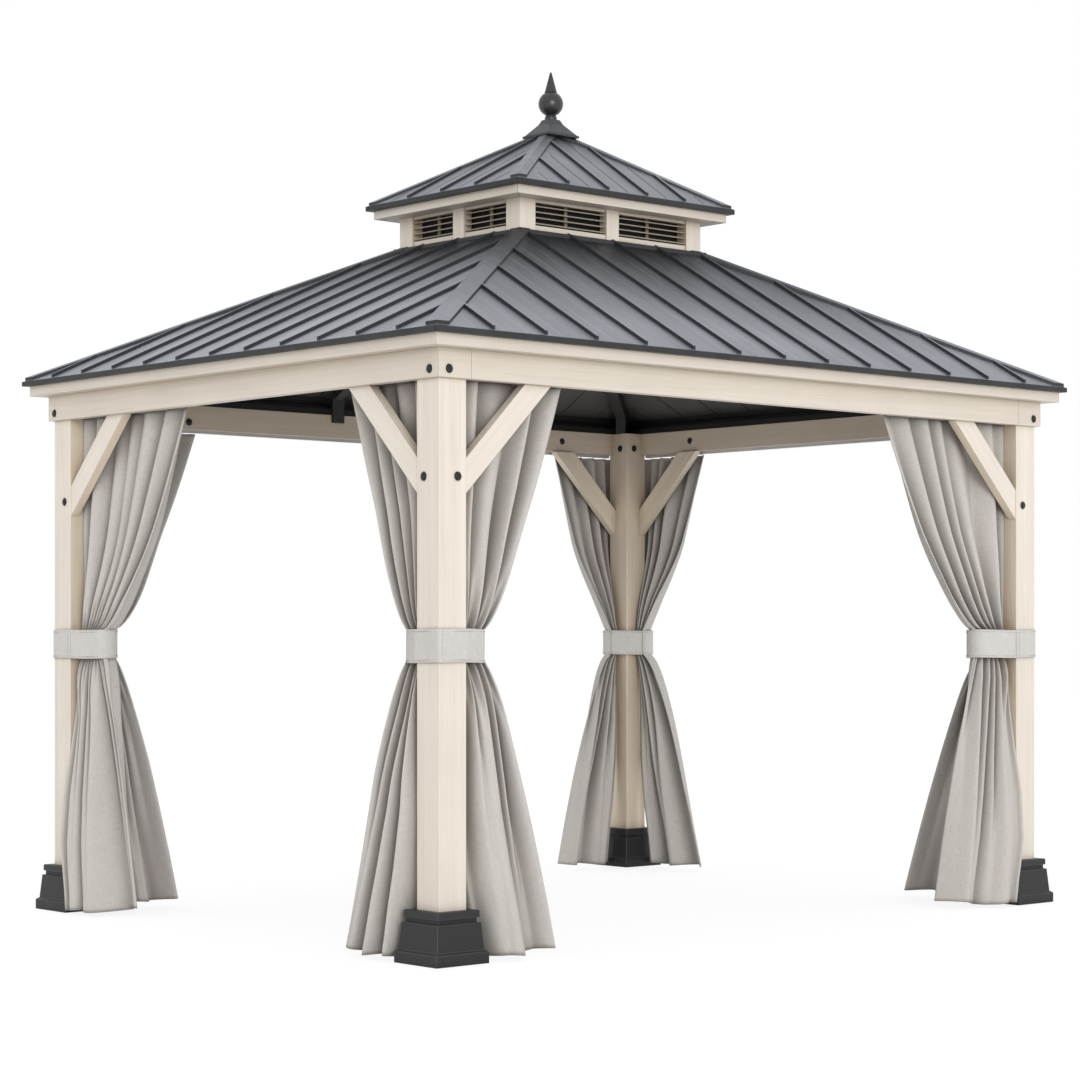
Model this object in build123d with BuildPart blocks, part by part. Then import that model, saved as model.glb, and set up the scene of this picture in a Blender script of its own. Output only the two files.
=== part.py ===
import os
from collections import namedtuple
from math import cos, hypot, radians, sin

from build123d import *

# Post frame: spacing of the post centres, post section and height to the beams
POST_SPAN_X = 3336
POST_SPAN_Y = 2536
POST_SIDE = 130
POST_ROUND = 4
BEAM_UNDER = 2140
BEAM_HEIGHT = 109
# Distances outward from the line of the post centres
BEAM_INNER = 39
BEAM_OUTER = 83
LEDGER_OUTER = 62
EAVE_BOARD_OUTER = 142
ROOF_OVERHANG = 168
# Length of the corner block that closes each end of the two long beams
CORNER_BLOCK = 157
JOINT_GAP = 1

# Dark stepped plinth round each post foot: (height, width) of each level
PLINTH_FLANGE = (42, 248)
PLINTH_BEVEL = (50, 224)
PLINTH_BODY = (150, 206)
PLINTH_GROOVE = (168, 184)
PLINTH_CAP = (195, 198)
PLINTH_ROUND = 5

# Knee braces at 45 degrees between post and beam
BRACE_INNER_LEG = 290
BRACE_OUTER_LEG = 420
BRACE_INNER = 20
BRACE_OUTER = 60

# Boards and ledgers on top of the beams
EAVE_BOARD_HEIGHT = 45
LEDGER_HEIGHT = 30

# Lower roof: hip roof that stops at the curb of the cupola
EAVE_TOP = 2313
ROOF_SHEET = 10
CURB_TOP = 2902
CURB_DEPTH = 96
CURB_THICKNESS = 45
CUPOLA_HALF_X = 535
CUPOLA_HALF_Y = 404
SEAM_WIDTH = 12
SEAM_HEIGHT = 15
CAP_REACH = 60
CAP_THICKNESS = 14
LONG_SEAM_SPACING = 258
LONG_SEAM_COUNT = 13
SHORT_SEAM_SPACING = 240
SHORT_SEAM_COUNT = 11
EDGE_LIP = 5
EDGE_SEAT = 60
# Seams and hip caps stop this far behind the eave
SEAM_SETBACK = 12

# Cupola with louvred openings
CUPOLA_CORNER_POST = 88
CUPOLA_MID_POST = 72
CUPOLA_POST_DEPTH = 45
CUPOLA_SILL = 31
CUPOLA_OPENING = 97
CUPOLA_WALL_TOP = 3079
CUPOLA_RAIL_DEPTH = 30
CUPOLA_RAIL_SETBACK = 6
LOUVRE_COUNT = 4
LOUVRE_WIDTH = 28
LOUVRE_THICKNESS = 5
LOUVRE_TILT = 14
LOUVRE_STAY = 16
LOUVRE_STAY_DEPTH = 8
UPPER_BOARD_REACH = 82
UPPER_BOARD_UNDER = 3042

# Upper roof: pyramid cut off flat under the finial
UPPER_OVERHANG = 27
UPPER_EAVE_TOP = 3099
UPPER_APEX = 3445
UPPER_CUT = 3410
UPPER_SHEET = 8
UPPER_SEAM_HEIGHT = 13
UPPER_CAP_REACH = 48
UPPER_CAP_THICKNESS = 11
UPPER_LONG_SPACING = 230
UPPER_LONG_COUNT = 4
UPPER_SHORT_SPACING = 227
UPPER_SHORT_COUNT = 3

# Finial: square flared foot, then a turned neck, ball and spike
FINIAL_FLANGE = 178
FINIAL_FLANGE_HEIGHT = 10
# Height and width of the foot's square sections
FINIAL_FLARE = ((3420, 168), (3450, 115), (3470, 79), (3492, 57))
FINIAL_COLLAR_RADIUS = 27
FINIAL_COLLAR_TOP = 3503
FINIAL_NECK_RADIUS = 22
FINIAL_BALL_RADIUS = 55
FINIAL_BALL_CENTRE = 3564
FINIAL_SPIKE_RADIUS = 28
FINIAL_SPIKE_FOOT = 3614
FINIAL_TIP_RADIUS = 4
FINIAL_TIP = 3707

# Rafters under the lower roof
HIP_RAFTER_WIDTH = 50
HIP_RAFTER_HEIGHT = 60
HIP_RAFTER_DROP = 24
HIP_RAFTER_START = 190
HIP_HEEL = (256, 300)
JACK_RAFTER_X = 200
JACK_RAFTER_WIDTH = 50
JACK_RAFTER_HEIGHT = 60
JACK_BRACKET_WIDTH = 68
JACK_BRACKET_THICKNESS = 12
JACK_BRACKET_DROP = 37

# Curtain rails, curtains and tie-backs
RAIL_HEIGHT = 14
RAIL_WIDTH = 24
CURTAIN_HEM = 14
CURTAIN_FLARE = 850
CURTAIN_SHOULDER = 1700
CURTAIN_CLEAR = 4
CURTAIN_DEPTH = 56
BUNDLE_DEPTH = 90
FLARE_START = 100
FLARE_DEPTH = 140
# Share of the way from the tie to the hem that a curtain has spread at the flare
FLARE_SHARE = 0.42
HEM_START = 132
HEM_DEPTH = 230
TIE_BOTTOM = 1100
TIE_TOP = 1225
TIE_CLEAR = 3
TIE_THICKNESS = 4
# Two walls have their curtains inside the braces and two outside: underside of the rail, and how far
# out of the post line are the rail and the curtain's head, tie and hem
Hang = namedtuple("Hang", "rail_under rail head tie hem")
INSIDE_HANG = Hang(2154, -14, -14, -14, 50)
OUTSIDE_HANG = Hang(2126, 80, 92, 0, 40)
# Reach of each curtain from the post centre at its head, shoulder, tie and hem, by wall and end
CURTAIN_REACH = {
    "front_left": (595, 476, 200, 513),
    "front_right": (885, 700, 275, 482),
    "right_front": (560, 450, 200, 590),
    "right_back": (505, 345, 170, 500),
    "back_right": (455, 315, 155, 405),
    "back_left": (705, 550, 200, 510),
    "left_back": (880, 675, 262, 480),
    "left_front": (560, 437, 178, 480),
}

# Worked-out sizes
HALF_X = POST_SPAN_X / 2
HALF_Y = POST_SPAN_Y / 2
HALF_POST = POST_SIDE / 2
BEAM_TOP = BEAM_UNDER + BEAM_HEIGHT
EAVE_BOARD_TOP = BEAM_TOP + EAVE_BOARD_HEIGHT
FLOOR_ALIGN = (Align.CENTER, Align.CENTER, Align.MIN)

Wall = namedtuple("Wall", "name turn half_run set_back ends")
WALLS = (
    Wall("front", 0, HALF_X, HALF_Y, ("left", "right")),
    Wall("right", 90, HALF_Y, HALF_X, ("front", "back")),
    Wall("back", 180, HALF_X, HALF_Y, ("right", "left")),
    Wall("left", 270, HALF_Y, HALF_X, ("back", "front")),
)
LONG_WALLS = ("front", "back")
INSIDE_WALLS = ("front", "left")
# Corners in the order of each wall's first end
CORNERS = (
    ("front_left", -1, -1),
    ("front_right", 1, -1),
    ("back_right", 1, 1),
    ("back_left", -1, 1),
)

Roof = namedtuple("Roof", "half_x half_y eave top_half_x top_half_y top")
LOWER_ROOF = Roof(
    HALF_X + ROOF_OVERHANG,
    HALF_Y + ROOF_OVERHANG,
    EAVE_TOP,
    CUPOLA_HALF_X,
    CUPOLA_HALF_Y,
    CURB_TOP,
)
UPPER_HALF_X = CUPOLA_HALF_X + UPPER_BOARD_REACH + UPPER_OVERHANG
UPPER_HALF_Y = CUPOLA_HALF_Y + UPPER_BOARD_REACH + UPPER_OVERHANG
UPPER_CUT_SHARE = (UPPER_APEX - UPPER_CUT) / (UPPER_APEX - UPPER_EAVE_TOP)
UPPER_ROOF = Roof(
    UPPER_HALF_X,
    UPPER_HALF_Y,
    UPPER_EAVE_TOP,
    UPPER_HALF_X * UPPER_CUT_SHARE,
    UPPER_HALF_Y * UPPER_CUT_SHARE,
    UPPER_CUT,
)
# Each wall of the cupola with its half length and its distance from the middle
CUPOLA_WALLS = tuple(
    (wall, *((CUPOLA_HALF_X, CUPOLA_HALF_Y) if wall.name in LONG_WALLS else (CUPOLA_HALF_Y, CUPOLA_HALF_X)))
    for wall in WALLS
)


def along(wall):
    return (cos(radians(wall.turn)), sin(radians(wall.turn)), 0)


def inward(wall):
    return (-sin(radians(wall.turn)), cos(radians(wall.turn)), 0)


def outward(wall, distance):
    return (sin(radians(wall.turn)) * distance, -cos(radians(wall.turn)) * distance, 0)


def plan_plane(wall, height=0):
    """Level plane with X along the wall and Y towards the middle."""
    return Plane((0, 0, height), x_dir=along(wall), z_dir=(0, 0, 1))


def section_plane(wall):
    """Upright plane across the wall: X towards the middle, Y up."""
    return Plane((0, 0, 0), x_dir=inward(wall), z_dir=along(wall))


def face_plane(wall, distance):
    """Upright plane in the wall's own direction, looked at from outside."""
    return Plane(outward(wall, distance), x_dir=along(wall), z_dir=outward(wall, 1))


def roof_halves(wall, roof):
    """Half eave length, eave distance, half top length and top distance of a slope."""
    if wall.name in LONG_WALLS:
        return roof.half_x, roof.half_y, roof.top_half_x, roof.top_half_y
    return roof.half_y, roof.half_x, roof.top_half_y, roof.top_half_x


def mitred_bar(wall, inner, outer, low, high, gap=0.0):
    """Bar along one wall between two distances out from the post line, mitred at both ends."""
    near = wall.set_back + inner
    far = wall.set_back + outer
    near_end = wall.half_run + inner - gap
    far_end = wall.half_run + outer - gap
    with BuildPart() as bar:
        with BuildSketch(plan_plane(wall, low)):
            Polygon(
                (-far_end, -far), (far_end, -far), (near_end, -near), (-near_end, -near), align=None
            )
        extrude(amount=high - low)
    return bar.part


def slope_slab(wall, roof, outline, low, high):
    """Piece of a roof slope over a plan outline, between two heights above the slope."""
    run, out, _, top_out = roof_halves(wall, roof)
    with BuildPart() as slab:
        with BuildSketch(section_plane(wall)):
            Polygon(
                (-out, roof.eave + low),
                (-top_out, roof.top + low),
                (-top_out, roof.top + high),
                (-out, roof.eave + high),
                align=None,
            )
        extrude(amount=run, both=True)
        extrude(to_extrude=outline, amount=roof.top + high, mode=Mode.INTERSECT)
    return slab.part


def set_back_run(wall, roof, distance):
    """Half length of a slope at a plan distance behind its eave."""
    run, out, top_run, top_out = roof_halves(wall, roof)
    return run - distance * (run - top_run) / (out - top_out)


def slope_outline(wall, roof, lip):
    """Plan of a whole slope, set back from its eave by the lip of the edge trim."""
    _, out, top_run, top_out = roof_halves(wall, roof)
    lip_run = set_back_run(wall, roof, lip)
    with BuildSketch(plan_plane(wall)) as outline:
        Polygon(
            (-lip_run, lip - out), (lip_run, lip - out), (top_run, -top_out), (-top_run, -top_out), align=None
        )
    return outline.sketch


def seam_outline(wall, roof, spacing, count, reach):
    """Plan of a slope's standing seams, stopped at the edges of the hip caps."""
    run, out, top_run, top_out = roof_halves(wall, roof)
    with BuildSketch(plan_plane(wall)) as outline:
        with Locations((0, SEAM_SETBACK - out)):
            with GridLocations(spacing, 0, count, 1):
                Rectangle(SEAM_WIDTH, out - top_out - SEAM_SETBACK, align=(Align.CENTER, Align.MIN))
        Polygon(
            (reach - run, -out),
            (run - reach, -out),
            (top_run - reach, -top_out),
            (reach - top_run, -top_out),
            align=None,
            mode=Mode.INTERSECT,
        )
    return outline.sketch


def cap_outline(wall, roof, reach, end):
    """Plan of the half of a hip cap that lies on one slope, at its first or last end."""
    _, out, top_run, top_out = roof_halves(wall, roof)
    eave_run = set_back_run(wall, roof, SEAM_SETBACK)
    with BuildSketch(plan_plane(wall)) as outline:
        Polygon(
            (end * eave_run, SEAM_SETBACK - out),
            (end * (eave_run - reach), SEAM_SETBACK - out),
            (end * (top_run - reach), -top_out),
            (end * top_run, -top_out),
            align=None,
        )
    return outline.sketch


def roof_slope(wall, roof, sheet, seam_height, spacing, count, reach):
    """Sheet of one slope with its standing seams."""
    with BuildPart() as slope:
        add(slope_slab(wall, roof, slope_outline(wall, roof, EDGE_LIP), -sheet, 0))
        add(slope_slab(wall, roof, seam_outline(wall, roof, spacing, count, reach), 0, seam_height))
    return slope.part


def hip_cap(corner, roof, reach, thickness):
    """Folded cap over the hip between a wall's slope and the slope before it."""
    with BuildPart() as cap:
        first = WALLS[corner]
        last = WALLS[corner - 1]
        add(slope_slab(first, roof, cap_outline(first, roof, reach, -1), 0, thickness))
        add(slope_slab(last, roof, cap_outline(last, roof, reach, 1), 0, thickness))
    return cap.part


def edge_trim(wall, roof, sheet, board_top):
    """Edge trim of one eave: a lip in front of the sheet and a seat on the board below."""
    run, out, top_run, top_out = roof_halves(wall, roof)
    rise = (roof.top - roof.eave) / (out - top_out)
    with BuildPart() as trim:
        with BuildSketch(section_plane(wall)):
            Polygon(
                (-out, board_top),
                (EDGE_SEAT - out, board_top),
                (EDGE_SEAT - out, roof.eave + EDGE_SEAT * rise - sheet),
                (EDGE_LIP - out, roof.eave + EDGE_LIP * rise - sheet),
                (EDGE_LIP - out, roof.eave + EDGE_LIP * rise),
                (-out, roof.eave),
                align=None,
            )
        extrude(amount=run, both=True)
        with BuildSketch(plan_plane(wall)):
            Polygon(
                (JOINT_GAP - run, -out),
                (run - JOINT_GAP, -out),
                (top_run - JOINT_GAP, -top_out),
                (JOINT_GAP - top_run, -top_out),
                align=None,
            )
        extrude(amount=roof.top, mode=Mode.INTERSECT)
    return trim.part


os.makedirs("parts", exist_ok=True)

# Posts, rebated at the head so that the beams sit on a shoulder
for name, side_x, side_y in CORNERS:
    rebate = HALF_POST - BEAM_INNER
    with BuildPart() as post:
        with Locations((side_x * HALF_X, side_y * HALF_Y, 0)):
            Box(POST_SIDE, POST_SIDE, BEAM_UNDER, align=FLOOR_ALIGN)
        fillet(post.edges().filter_by(Axis.Z), POST_ROUND)
        head_x = side_x * (HALF_X - rebate / 2)
        head_y = side_y * (HALF_Y - rebate / 2)
        with Locations((head_x, head_y, BEAM_UNDER)):
            Box(POST_SIDE - rebate, POST_SIDE - rebate, BEAM_HEIGHT, align=FLOOR_ALIGN)
    post.part.label = f"post_{name}"
    export_step(post.part, f"parts/post_{name}.step")

# Plinths round the post feet
for name, side_x, side_y in CORNERS:
    foot = Vector(side_x * HALF_X, side_y * HALF_Y)
    with BuildPart() as plinth:
        with BuildSketch(Plane(foot)):
            Rectangle(PLINTH_FLANGE[1], PLINTH_FLANGE[1])
        extrude(amount=PLINTH_FLANGE[0])
        for (low, low_width), (high, high_width) in (
            (PLINTH_FLANGE, PLINTH_BEVEL),
            (PLINTH_BEVEL, PLINTH_BODY),
        ):
            with BuildSketch(Plane(foot + Vector(0, 0, low))):
                Rectangle(low_width, low_width)
            with BuildSketch(Plane(foot + Vector(0, 0, high))):
                Rectangle(high_width, high_width)
            loft()
        with BuildSketch(Plane(foot + Vector(0, 0, PLINTH_BODY[0]))):
            Rectangle(PLINTH_GROOVE[1], PLINTH_GROOVE[1])
        extrude(amount=PLINTH_GROOVE[0] - PLINTH_BODY[0])
        with BuildSketch(Plane(foot + Vector(0, 0, PLINTH_GROOVE[0]))):
            Rectangle(PLINTH_CAP[1], PLINTH_CAP[1])
        extrude(amount=PLINTH_CAP[0] - PLINTH_GROOVE[0])
        fillet(plinth.faces().sort_by(Axis.Z)[-1].edges(), PLINTH_ROUND)
        with BuildSketch(Plane(foot)):
            RectangleRounded(POST_SIDE, POST_SIDE, POST_ROUND)
        extrude(amount=PLINTH_CAP[0], mode=Mode.SUBTRACT)
    plinth.part.label = f"plinth_{name}"
    export_step(plinth.part, f"parts/plinth_{name}.step")

# Knee braces, two to a wall
for wall in WALLS:
    with BuildPart() as braces:
        with BuildSketch(face_plane(wall, wall.set_back + BRACE_INNER)):
            for end in (-1, 1):
                post_face = end * (wall.half_run - HALF_POST)
                Polygon(
                    (post_face, BEAM_UNDER - BRACE_OUTER_LEG),
                    (post_face, BEAM_UNDER - BRACE_INNER_LEG),
                    (post_face - end * BRACE_INNER_LEG, BEAM_UNDER),
                    (post_face - end * BRACE_OUTER_LEG, BEAM_UNDER),
                    align=None,
                )
        extrude(amount=BRACE_OUTER - BRACE_INNER)
    braces.part.label = f"{wall.name}_braces"
    export_step(braces.part, f"parts/{wall.name}_braces.step")

# Beams: the long ones stop at corner blocks, the short ones run through
block_joint = HALF_X + BEAM_OUTER - CORNER_BLOCK
for wall in WALLS:
    with BuildPart() as beam:
        add(mitred_bar(wall, BEAM_INNER, BEAM_OUTER, BEAM_UNDER, BEAM_TOP))
        if wall.name in LONG_WALLS:
            with Locations((0, 0, BEAM_UNDER)):
                Box(2 * block_joint, POST_SPAN_X, BEAM_HEIGHT, align=FLOOR_ALIGN, mode=Mode.INTERSECT)
    beam.part.label = f"{wall.name}_beam"
    export_step(beam.part, f"parts/{wall.name}_beam.step")

with BuildPart() as blocks:
    for wall in WALLS:
        if wall.name in LONG_WALLS:
            add(mitred_bar(wall, BEAM_INNER, BEAM_OUTER, BEAM_UNDER, BEAM_TOP))
    with Locations((0, 0, BEAM_UNDER)):
        Box(2 * (block_joint + JOINT_GAP), POST_SPAN_X, BEAM_HEIGHT, align=FLOOR_ALIGN, mode=Mode.SUBTRACT)
blocks.part.label = "beam_corner_blocks"
export_step(blocks.part, "parts/beam_corner_blocks.step")

# Eave boards outside and dark ledgers inside, on top of the beams
for wall in WALLS:
    with BuildPart() as board:
        add(mitred_bar(wall, LEDGER_OUTER, EAVE_BOARD_OUTER, BEAM_TOP, EAVE_BOARD_TOP))
    board.part.label = f"{wall.name}_eave_board"
    export_step(board.part, f"parts/{wall.name}_eave_board.step")

with BuildPart() as ledgers:
    for wall in WALLS:
        add(mitred_bar(wall, BEAM_INNER, LEDGER_OUTER, BEAM_TOP, BEAM_TOP + LEDGER_HEIGHT, JOINT_GAP))
ledgers.part.label = "roof_ledgers"
export_step(ledgers.part, "parts/roof_ledgers.step")

# Lower roof slopes with their standing seams
for wall in WALLS:
    long_wall = wall.name in LONG_WALLS
    with BuildPart() as slope:
        add(
            roof_slope(
                wall,
                LOWER_ROOF,
                ROOF_SHEET,
                SEAM_HEIGHT,
                LONG_SEAM_SPACING if long_wall else SHORT_SEAM_SPACING,
                LONG_SEAM_COUNT if long_wall else SHORT_SEAM_COUNT,
                CAP_REACH,
            )
        )
    slope.part.label = f"{wall.name}_roof"
    export_step(slope.part, f"parts/{wall.name}_roof.step")

with BuildPart() as caps:
    for corner in range(len(WALLS)):
        add(hip_cap(corner, LOWER_ROOF, CAP_REACH, CAP_THICKNESS))
caps.part.label = "roof_hip_caps"
export_step(caps.part, "parts/roof_hip_caps.step")

with BuildPart() as trims:
    for wall in WALLS:
        add(edge_trim(wall, LOWER_ROOF, ROOF_SHEET, EAVE_BOARD_TOP))
trims.part.label = "roof_edge_trim"
export_step(trims.part, "parts/roof_edge_trim.step")

# Curb that carries the cupola, at the top of the lower roof
with BuildPart() as curb:
    with Locations((0, 0, CURB_TOP - CURB_DEPTH)):
        Box(2 * CUPOLA_HALF_X, 2 * CUPOLA_HALF_Y, CURB_DEPTH, align=FLOOR_ALIGN)
        Box(
            2 * (CUPOLA_HALF_X - CURB_THICKNESS),
            2 * (CUPOLA_HALF_Y - CURB_THICKNESS),
            CURB_DEPTH,
            align=FLOOR_ALIGN,
            mode=Mode.SUBTRACT,
        )
curb.part.label = "cupola_curb"
export_step(curb.part, "parts/cupola_curb.step")

# Rafters: one under each hip, notched over the curb's corner, and two under each long slope
hip_run = LOWER_ROOF.half_x - CUPOLA_HALF_X
hip_depth = LOWER_ROOF.half_y - CUPOLA_HALF_Y
hip_length = hypot(hip_run, hip_depth)
hip_rise = (CURB_TOP - EAVE_TOP) / hip_length


def hip_line(distance, drop):
    """Point under the hip at a distance from the eave corner."""
    return (distance, EAVE_TOP + distance * hip_rise - drop)


with BuildPart() as hip_rafters:
    for _, side_x, side_y in CORNERS:
        eave_corner = (side_x * LOWER_ROOF.half_x, side_y * LOWER_ROOF.half_y, 0)
        uphill = (-side_x * hip_run, -side_y * hip_depth, 0)
        across = (-side_y * hip_depth, side_x * hip_run, 0)
        deep = HIP_RAFTER_DROP + HIP_RAFTER_HEIGHT
        with BuildSketch(Plane(eave_corner, x_dir=uphill, z_dir=across)):
            Polygon(
                hip_line(HIP_RAFTER_START, deep),
                hip_line(HIP_HEEL[0], deep),
                (HIP_HEEL[0], BEAM_TOP),
                (HIP_HEEL[1], BEAM_TOP),
                hip_line(HIP_HEEL[1], deep),
                hip_line(hip_length + HIP_RAFTER_WIDTH, deep),
                hip_line(hip_length + HIP_RAFTER_WIDTH, HIP_RAFTER_DROP),
                hip_line(HIP_RAFTER_START, HIP_RAFTER_DROP),
                align=None,
            )
    extrude(amount=HIP_RAFTER_WIDTH / 2, both=True)
    Box(2 * CUPOLA_HALF_X, 2 * CUPOLA_HALF_Y, 2 * CURB_TOP, mode=Mode.SUBTRACT)
hip_rafters.part.label = "hip_rafters"
export_step(hip_rafters.part, "parts/hip_rafters.step")

with BuildPart() as jack_rafters:
    for wall in WALLS:
        if wall.name in LONG_WALLS:
            for place in (-JACK_RAFTER_X, JACK_RAFTER_X):
                with BuildSketch(plan_plane(wall)) as rafter_plan:
                    with Locations((place, -CUPOLA_HALF_Y)):
                        Rectangle(
                            JACK_RAFTER_WIDTH,
                            HALF_Y + BEAM_INNER - CUPOLA_HALF_Y,
                            align=(Align.CENTER, Align.MAX),
                        )
                low = -ROOF_SHEET - JACK_RAFTER_HEIGHT
                add(slope_slab(wall, LOWER_ROOF, rafter_plan.sketch, low, -ROOF_SHEET))
                eave_distance = ROOF_OVERHANG - BEAM_INNER
                rise = (CURB_TOP - EAVE_TOP) / hip_depth
                bracket_top = EAVE_TOP + eave_distance * rise - ROOF_SHEET - JACK_RAFTER_HEIGHT / 2
                bracket_bottom = BEAM_TOP - JACK_BRACKET_DROP
                with BuildSketch(plan_plane(wall, bracket_bottom)) as bracket_plan:
                    with Locations((place, -HALF_Y - BEAM_INNER)):
                        Rectangle(
                            JACK_BRACKET_WIDTH, JACK_BRACKET_THICKNESS, align=(Align.CENTER, Align.MIN)
                        )
                extrude(to_extrude=bracket_plan.sketch, amount=bracket_top - bracket_bottom)
jack_rafters.part.label = "jack_rafters"
export_step(jack_rafters.part, "parts/jack_rafters.step")

# Cupola walls: posts, then sills and heads between them, then louvres in the openings
wall_height = CUPOLA_WALL_TOP - CURB_TOP
with BuildPart() as cupola_posts:
    with Locations((0, 0, CURB_TOP)):
        with GridLocations(
            2 * CUPOLA_HALF_X - CUPOLA_CORNER_POST, 2 * CUPOLA_HALF_Y - CUPOLA_CORNER_POST, 2, 2
        ):
            Box(CUPOLA_CORNER_POST, CUPOLA_CORNER_POST, wall_height, align=FLOOR_ALIGN)
    for wall, _, out in CUPOLA_WALLS:
        with BuildSketch(plan_plane(wall, CURB_TOP)) as mid_post:
            with Locations((0, -out)):
                Rectangle(CUPOLA_MID_POST, CUPOLA_POST_DEPTH, align=(Align.CENTER, Align.MIN))
        extrude(to_extrude=mid_post.sketch, amount=wall_height)
cupola_posts.part.label = "cupola_posts"
export_step(cupola_posts.part, "parts/cupola_posts.step")

opening_low = CURB_TOP + CUPOLA_SILL
opening_high = opening_low + CUPOLA_OPENING
with BuildPart() as cupola_rails:
    for wall, run, out in CUPOLA_WALLS:
        first = CUPOLA_MID_POST / 2
        last = run - CUPOLA_CORNER_POST
        with BuildSketch(plan_plane(wall)) as rail_plan:
            for side in (-1, 1):
                with Locations((side * (first + last) / 2, CUPOLA_RAIL_SETBACK - out)):
                    Rectangle(last - first, CUPOLA_RAIL_DEPTH, align=(Align.CENTER, Align.MIN))
        for low, high in ((CURB_TOP, opening_low), (opening_high, CUPOLA_WALL_TOP)):
            lifted = rail_plan.sketch.moved(Location((0, 0, low)))
            extrude(to_extrude=lifted, amount=high - low)
cupola_rails.part.label = "cupola_rails"
export_step(cupola_rails.part, "parts/cupola_rails.step")

with BuildPart() as louvres:
    pitch = CUPOLA_OPENING / LOUVRE_COUNT
    for wall, run, out in CUPOLA_WALLS:
        first = CUPOLA_MID_POST / 2
        last = run - CUPOLA_CORNER_POST
        middle = CUPOLA_RAIL_SETBACK + CUPOLA_RAIL_DEPTH / 2 - out
        with BuildSketch(section_plane(wall)) as slats:
            for step in range(LOUVRE_COUNT):
                with Locations(Location((middle, opening_low + (step + 0.5) * pitch), LOUVRE_TILT)):
                    Rectangle(LOUVRE_WIDTH, LOUVRE_THICKNESS)
        for side in (-1, 1):
            reach = Vector(*along(wall)) * (first if side > 0 else -last)
            placed = slats.sketch.moved(Location(reach))
            extrude(to_extrude=placed, amount=last - first, dir=along(wall))
            back = CUPOLA_RAIL_SETBACK + CUPOLA_RAIL_DEPTH - out
            with BuildSketch(plan_plane(wall, opening_low - CUPOLA_SILL / 2)) as stay:
                with Locations((side * (first + last) / 2, back)):
                    Rectangle(LOUVRE_STAY, LOUVRE_STAY_DEPTH, align=(Align.CENTER, Align.MIN))
            extrude(to_extrude=stay.sketch, amount=CUPOLA_OPENING + CUPOLA_SILL)
louvres.part.label = "cupola_louvres"
export_step(louvres.part, "parts/cupola_louvres.step")

# Boards round the head of the cupola
with BuildPart() as upper_boards:
    for wall, run, out in CUPOLA_WALLS:
        far_run = run + UPPER_BOARD_REACH - JOINT_GAP
        far = out + UPPER_BOARD_REACH
        with BuildSketch(plan_plane(wall, UPPER_BOARD_UNDER)) as board_plan:
            Polygon(
                (-far_run, -far),
                (far_run, -far),
                (run - JOINT_GAP, -out),
                (JOINT_GAP - run, -out),
                align=None,
            )
        extrude(to_extrude=board_plan.sketch, amount=CUPOLA_WALL_TOP - UPPER_BOARD_UNDER)
upper_boards.part.label = "cupola_eave_boards"
export_step(upper_boards.part, "parts/cupola_eave_boards.step")

# Upper roof
for wall in WALLS:
    long_wall = wall.name in LONG_WALLS
    with BuildPart() as slope:
        add(
            roof_slope(
                wall,
                UPPER_ROOF,
                UPPER_SHEET,
                UPPER_SEAM_HEIGHT,
                UPPER_LONG_SPACING if long_wall else UPPER_SHORT_SPACING,
                UPPER_LONG_COUNT if long_wall else UPPER_SHORT_COUNT,
                UPPER_CAP_REACH,
            )
        )
        split(bisect_by=Plane((0, 0, UPPER_CUT)), keep=Keep.BOTTOM)
    slope.part.label = f"{wall.name}_upper_roof"
    export_step(slope.part, f"parts/{wall.name}_upper_roof.step")

with BuildPart() as upper_caps:
    for corner in range(len(WALLS)):
        add(hip_cap(corner, UPPER_ROOF, UPPER_CAP_REACH, UPPER_CAP_THICKNESS))
    split(bisect_by=Plane((0, 0, UPPER_CUT)), keep=Keep.BOTTOM)
upper_caps.part.label = "upper_hip_caps"
export_step(upper_caps.part, "parts/upper_hip_caps.step")

with BuildPart() as upper_trims:
    for wall in WALLS:
        add(edge_trim(wall, UPPER_ROOF, UPPER_SHEET, CUPOLA_WALL_TOP))
upper_trims.part.label = "upper_edge_trim"
export_step(upper_trims.part, "parts/upper_edge_trim.step")

# Finial
with BuildPart() as finial_base:
    with Locations((0, 0, UPPER_CUT)):
        Box(FINIAL_FLANGE, FINIAL_FLANGE, FINIAL_FLANGE_HEIGHT, align=FLOOR_ALIGN)
    for height, width in FINIAL_FLARE:
        with BuildSketch(Plane.XY.offset(height)):
            Rectangle(width, width)
    loft(ruled=True)
finial_base.part.label = "finial_base"
export_step(finial_base.part, "parts/finial_base.step")

finial_foot = FINIAL_FLARE[-1][0]
ball_reach = (FINIAL_BALL_RADIUS**2 - FINIAL_NECK_RADIUS**2) ** 0.5
ball_low = FINIAL_BALL_CENTRE - ball_reach
ball_high = FINIAL_BALL_CENTRE + ball_reach
with BuildPart() as finial:
    with BuildSketch(Plane.XZ):
        with BuildLine():
            Polyline(
                (0, finial_foot),
                (FINIAL_COLLAR_RADIUS, finial_foot),
                (FINIAL_COLLAR_RADIUS, FINIAL_COLLAR_TOP),
                (FINIAL_NECK_RADIUS, ball_low),
            )
            ThreePointArc(
                (FINIAL_NECK_RADIUS, ball_low),
                (FINIAL_BALL_RADIUS, FINIAL_BALL_CENTRE),
                (FINIAL_NECK_RADIUS, ball_high),
            )
            Polyline(
                (FINIAL_NECK_RADIUS, ball_high),
                (FINIAL_SPIKE_RADIUS, FINIAL_SPIKE_FOOT),
                (FINIAL_TIP_RADIUS, FINIAL_TIP - FINIAL_TIP_RADIUS),
                (0, FINIAL_TIP),
                (0, finial_foot),
            )
        make_face()
    revolve(axis=Axis.Z)
finial.part.label = "finial"
export_step(finial.part, "parts/finial.step")


def hang_of(wall):
    return INSIDE_HANG if wall.name in INSIDE_WALLS else OUTSIDE_HANG


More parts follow.
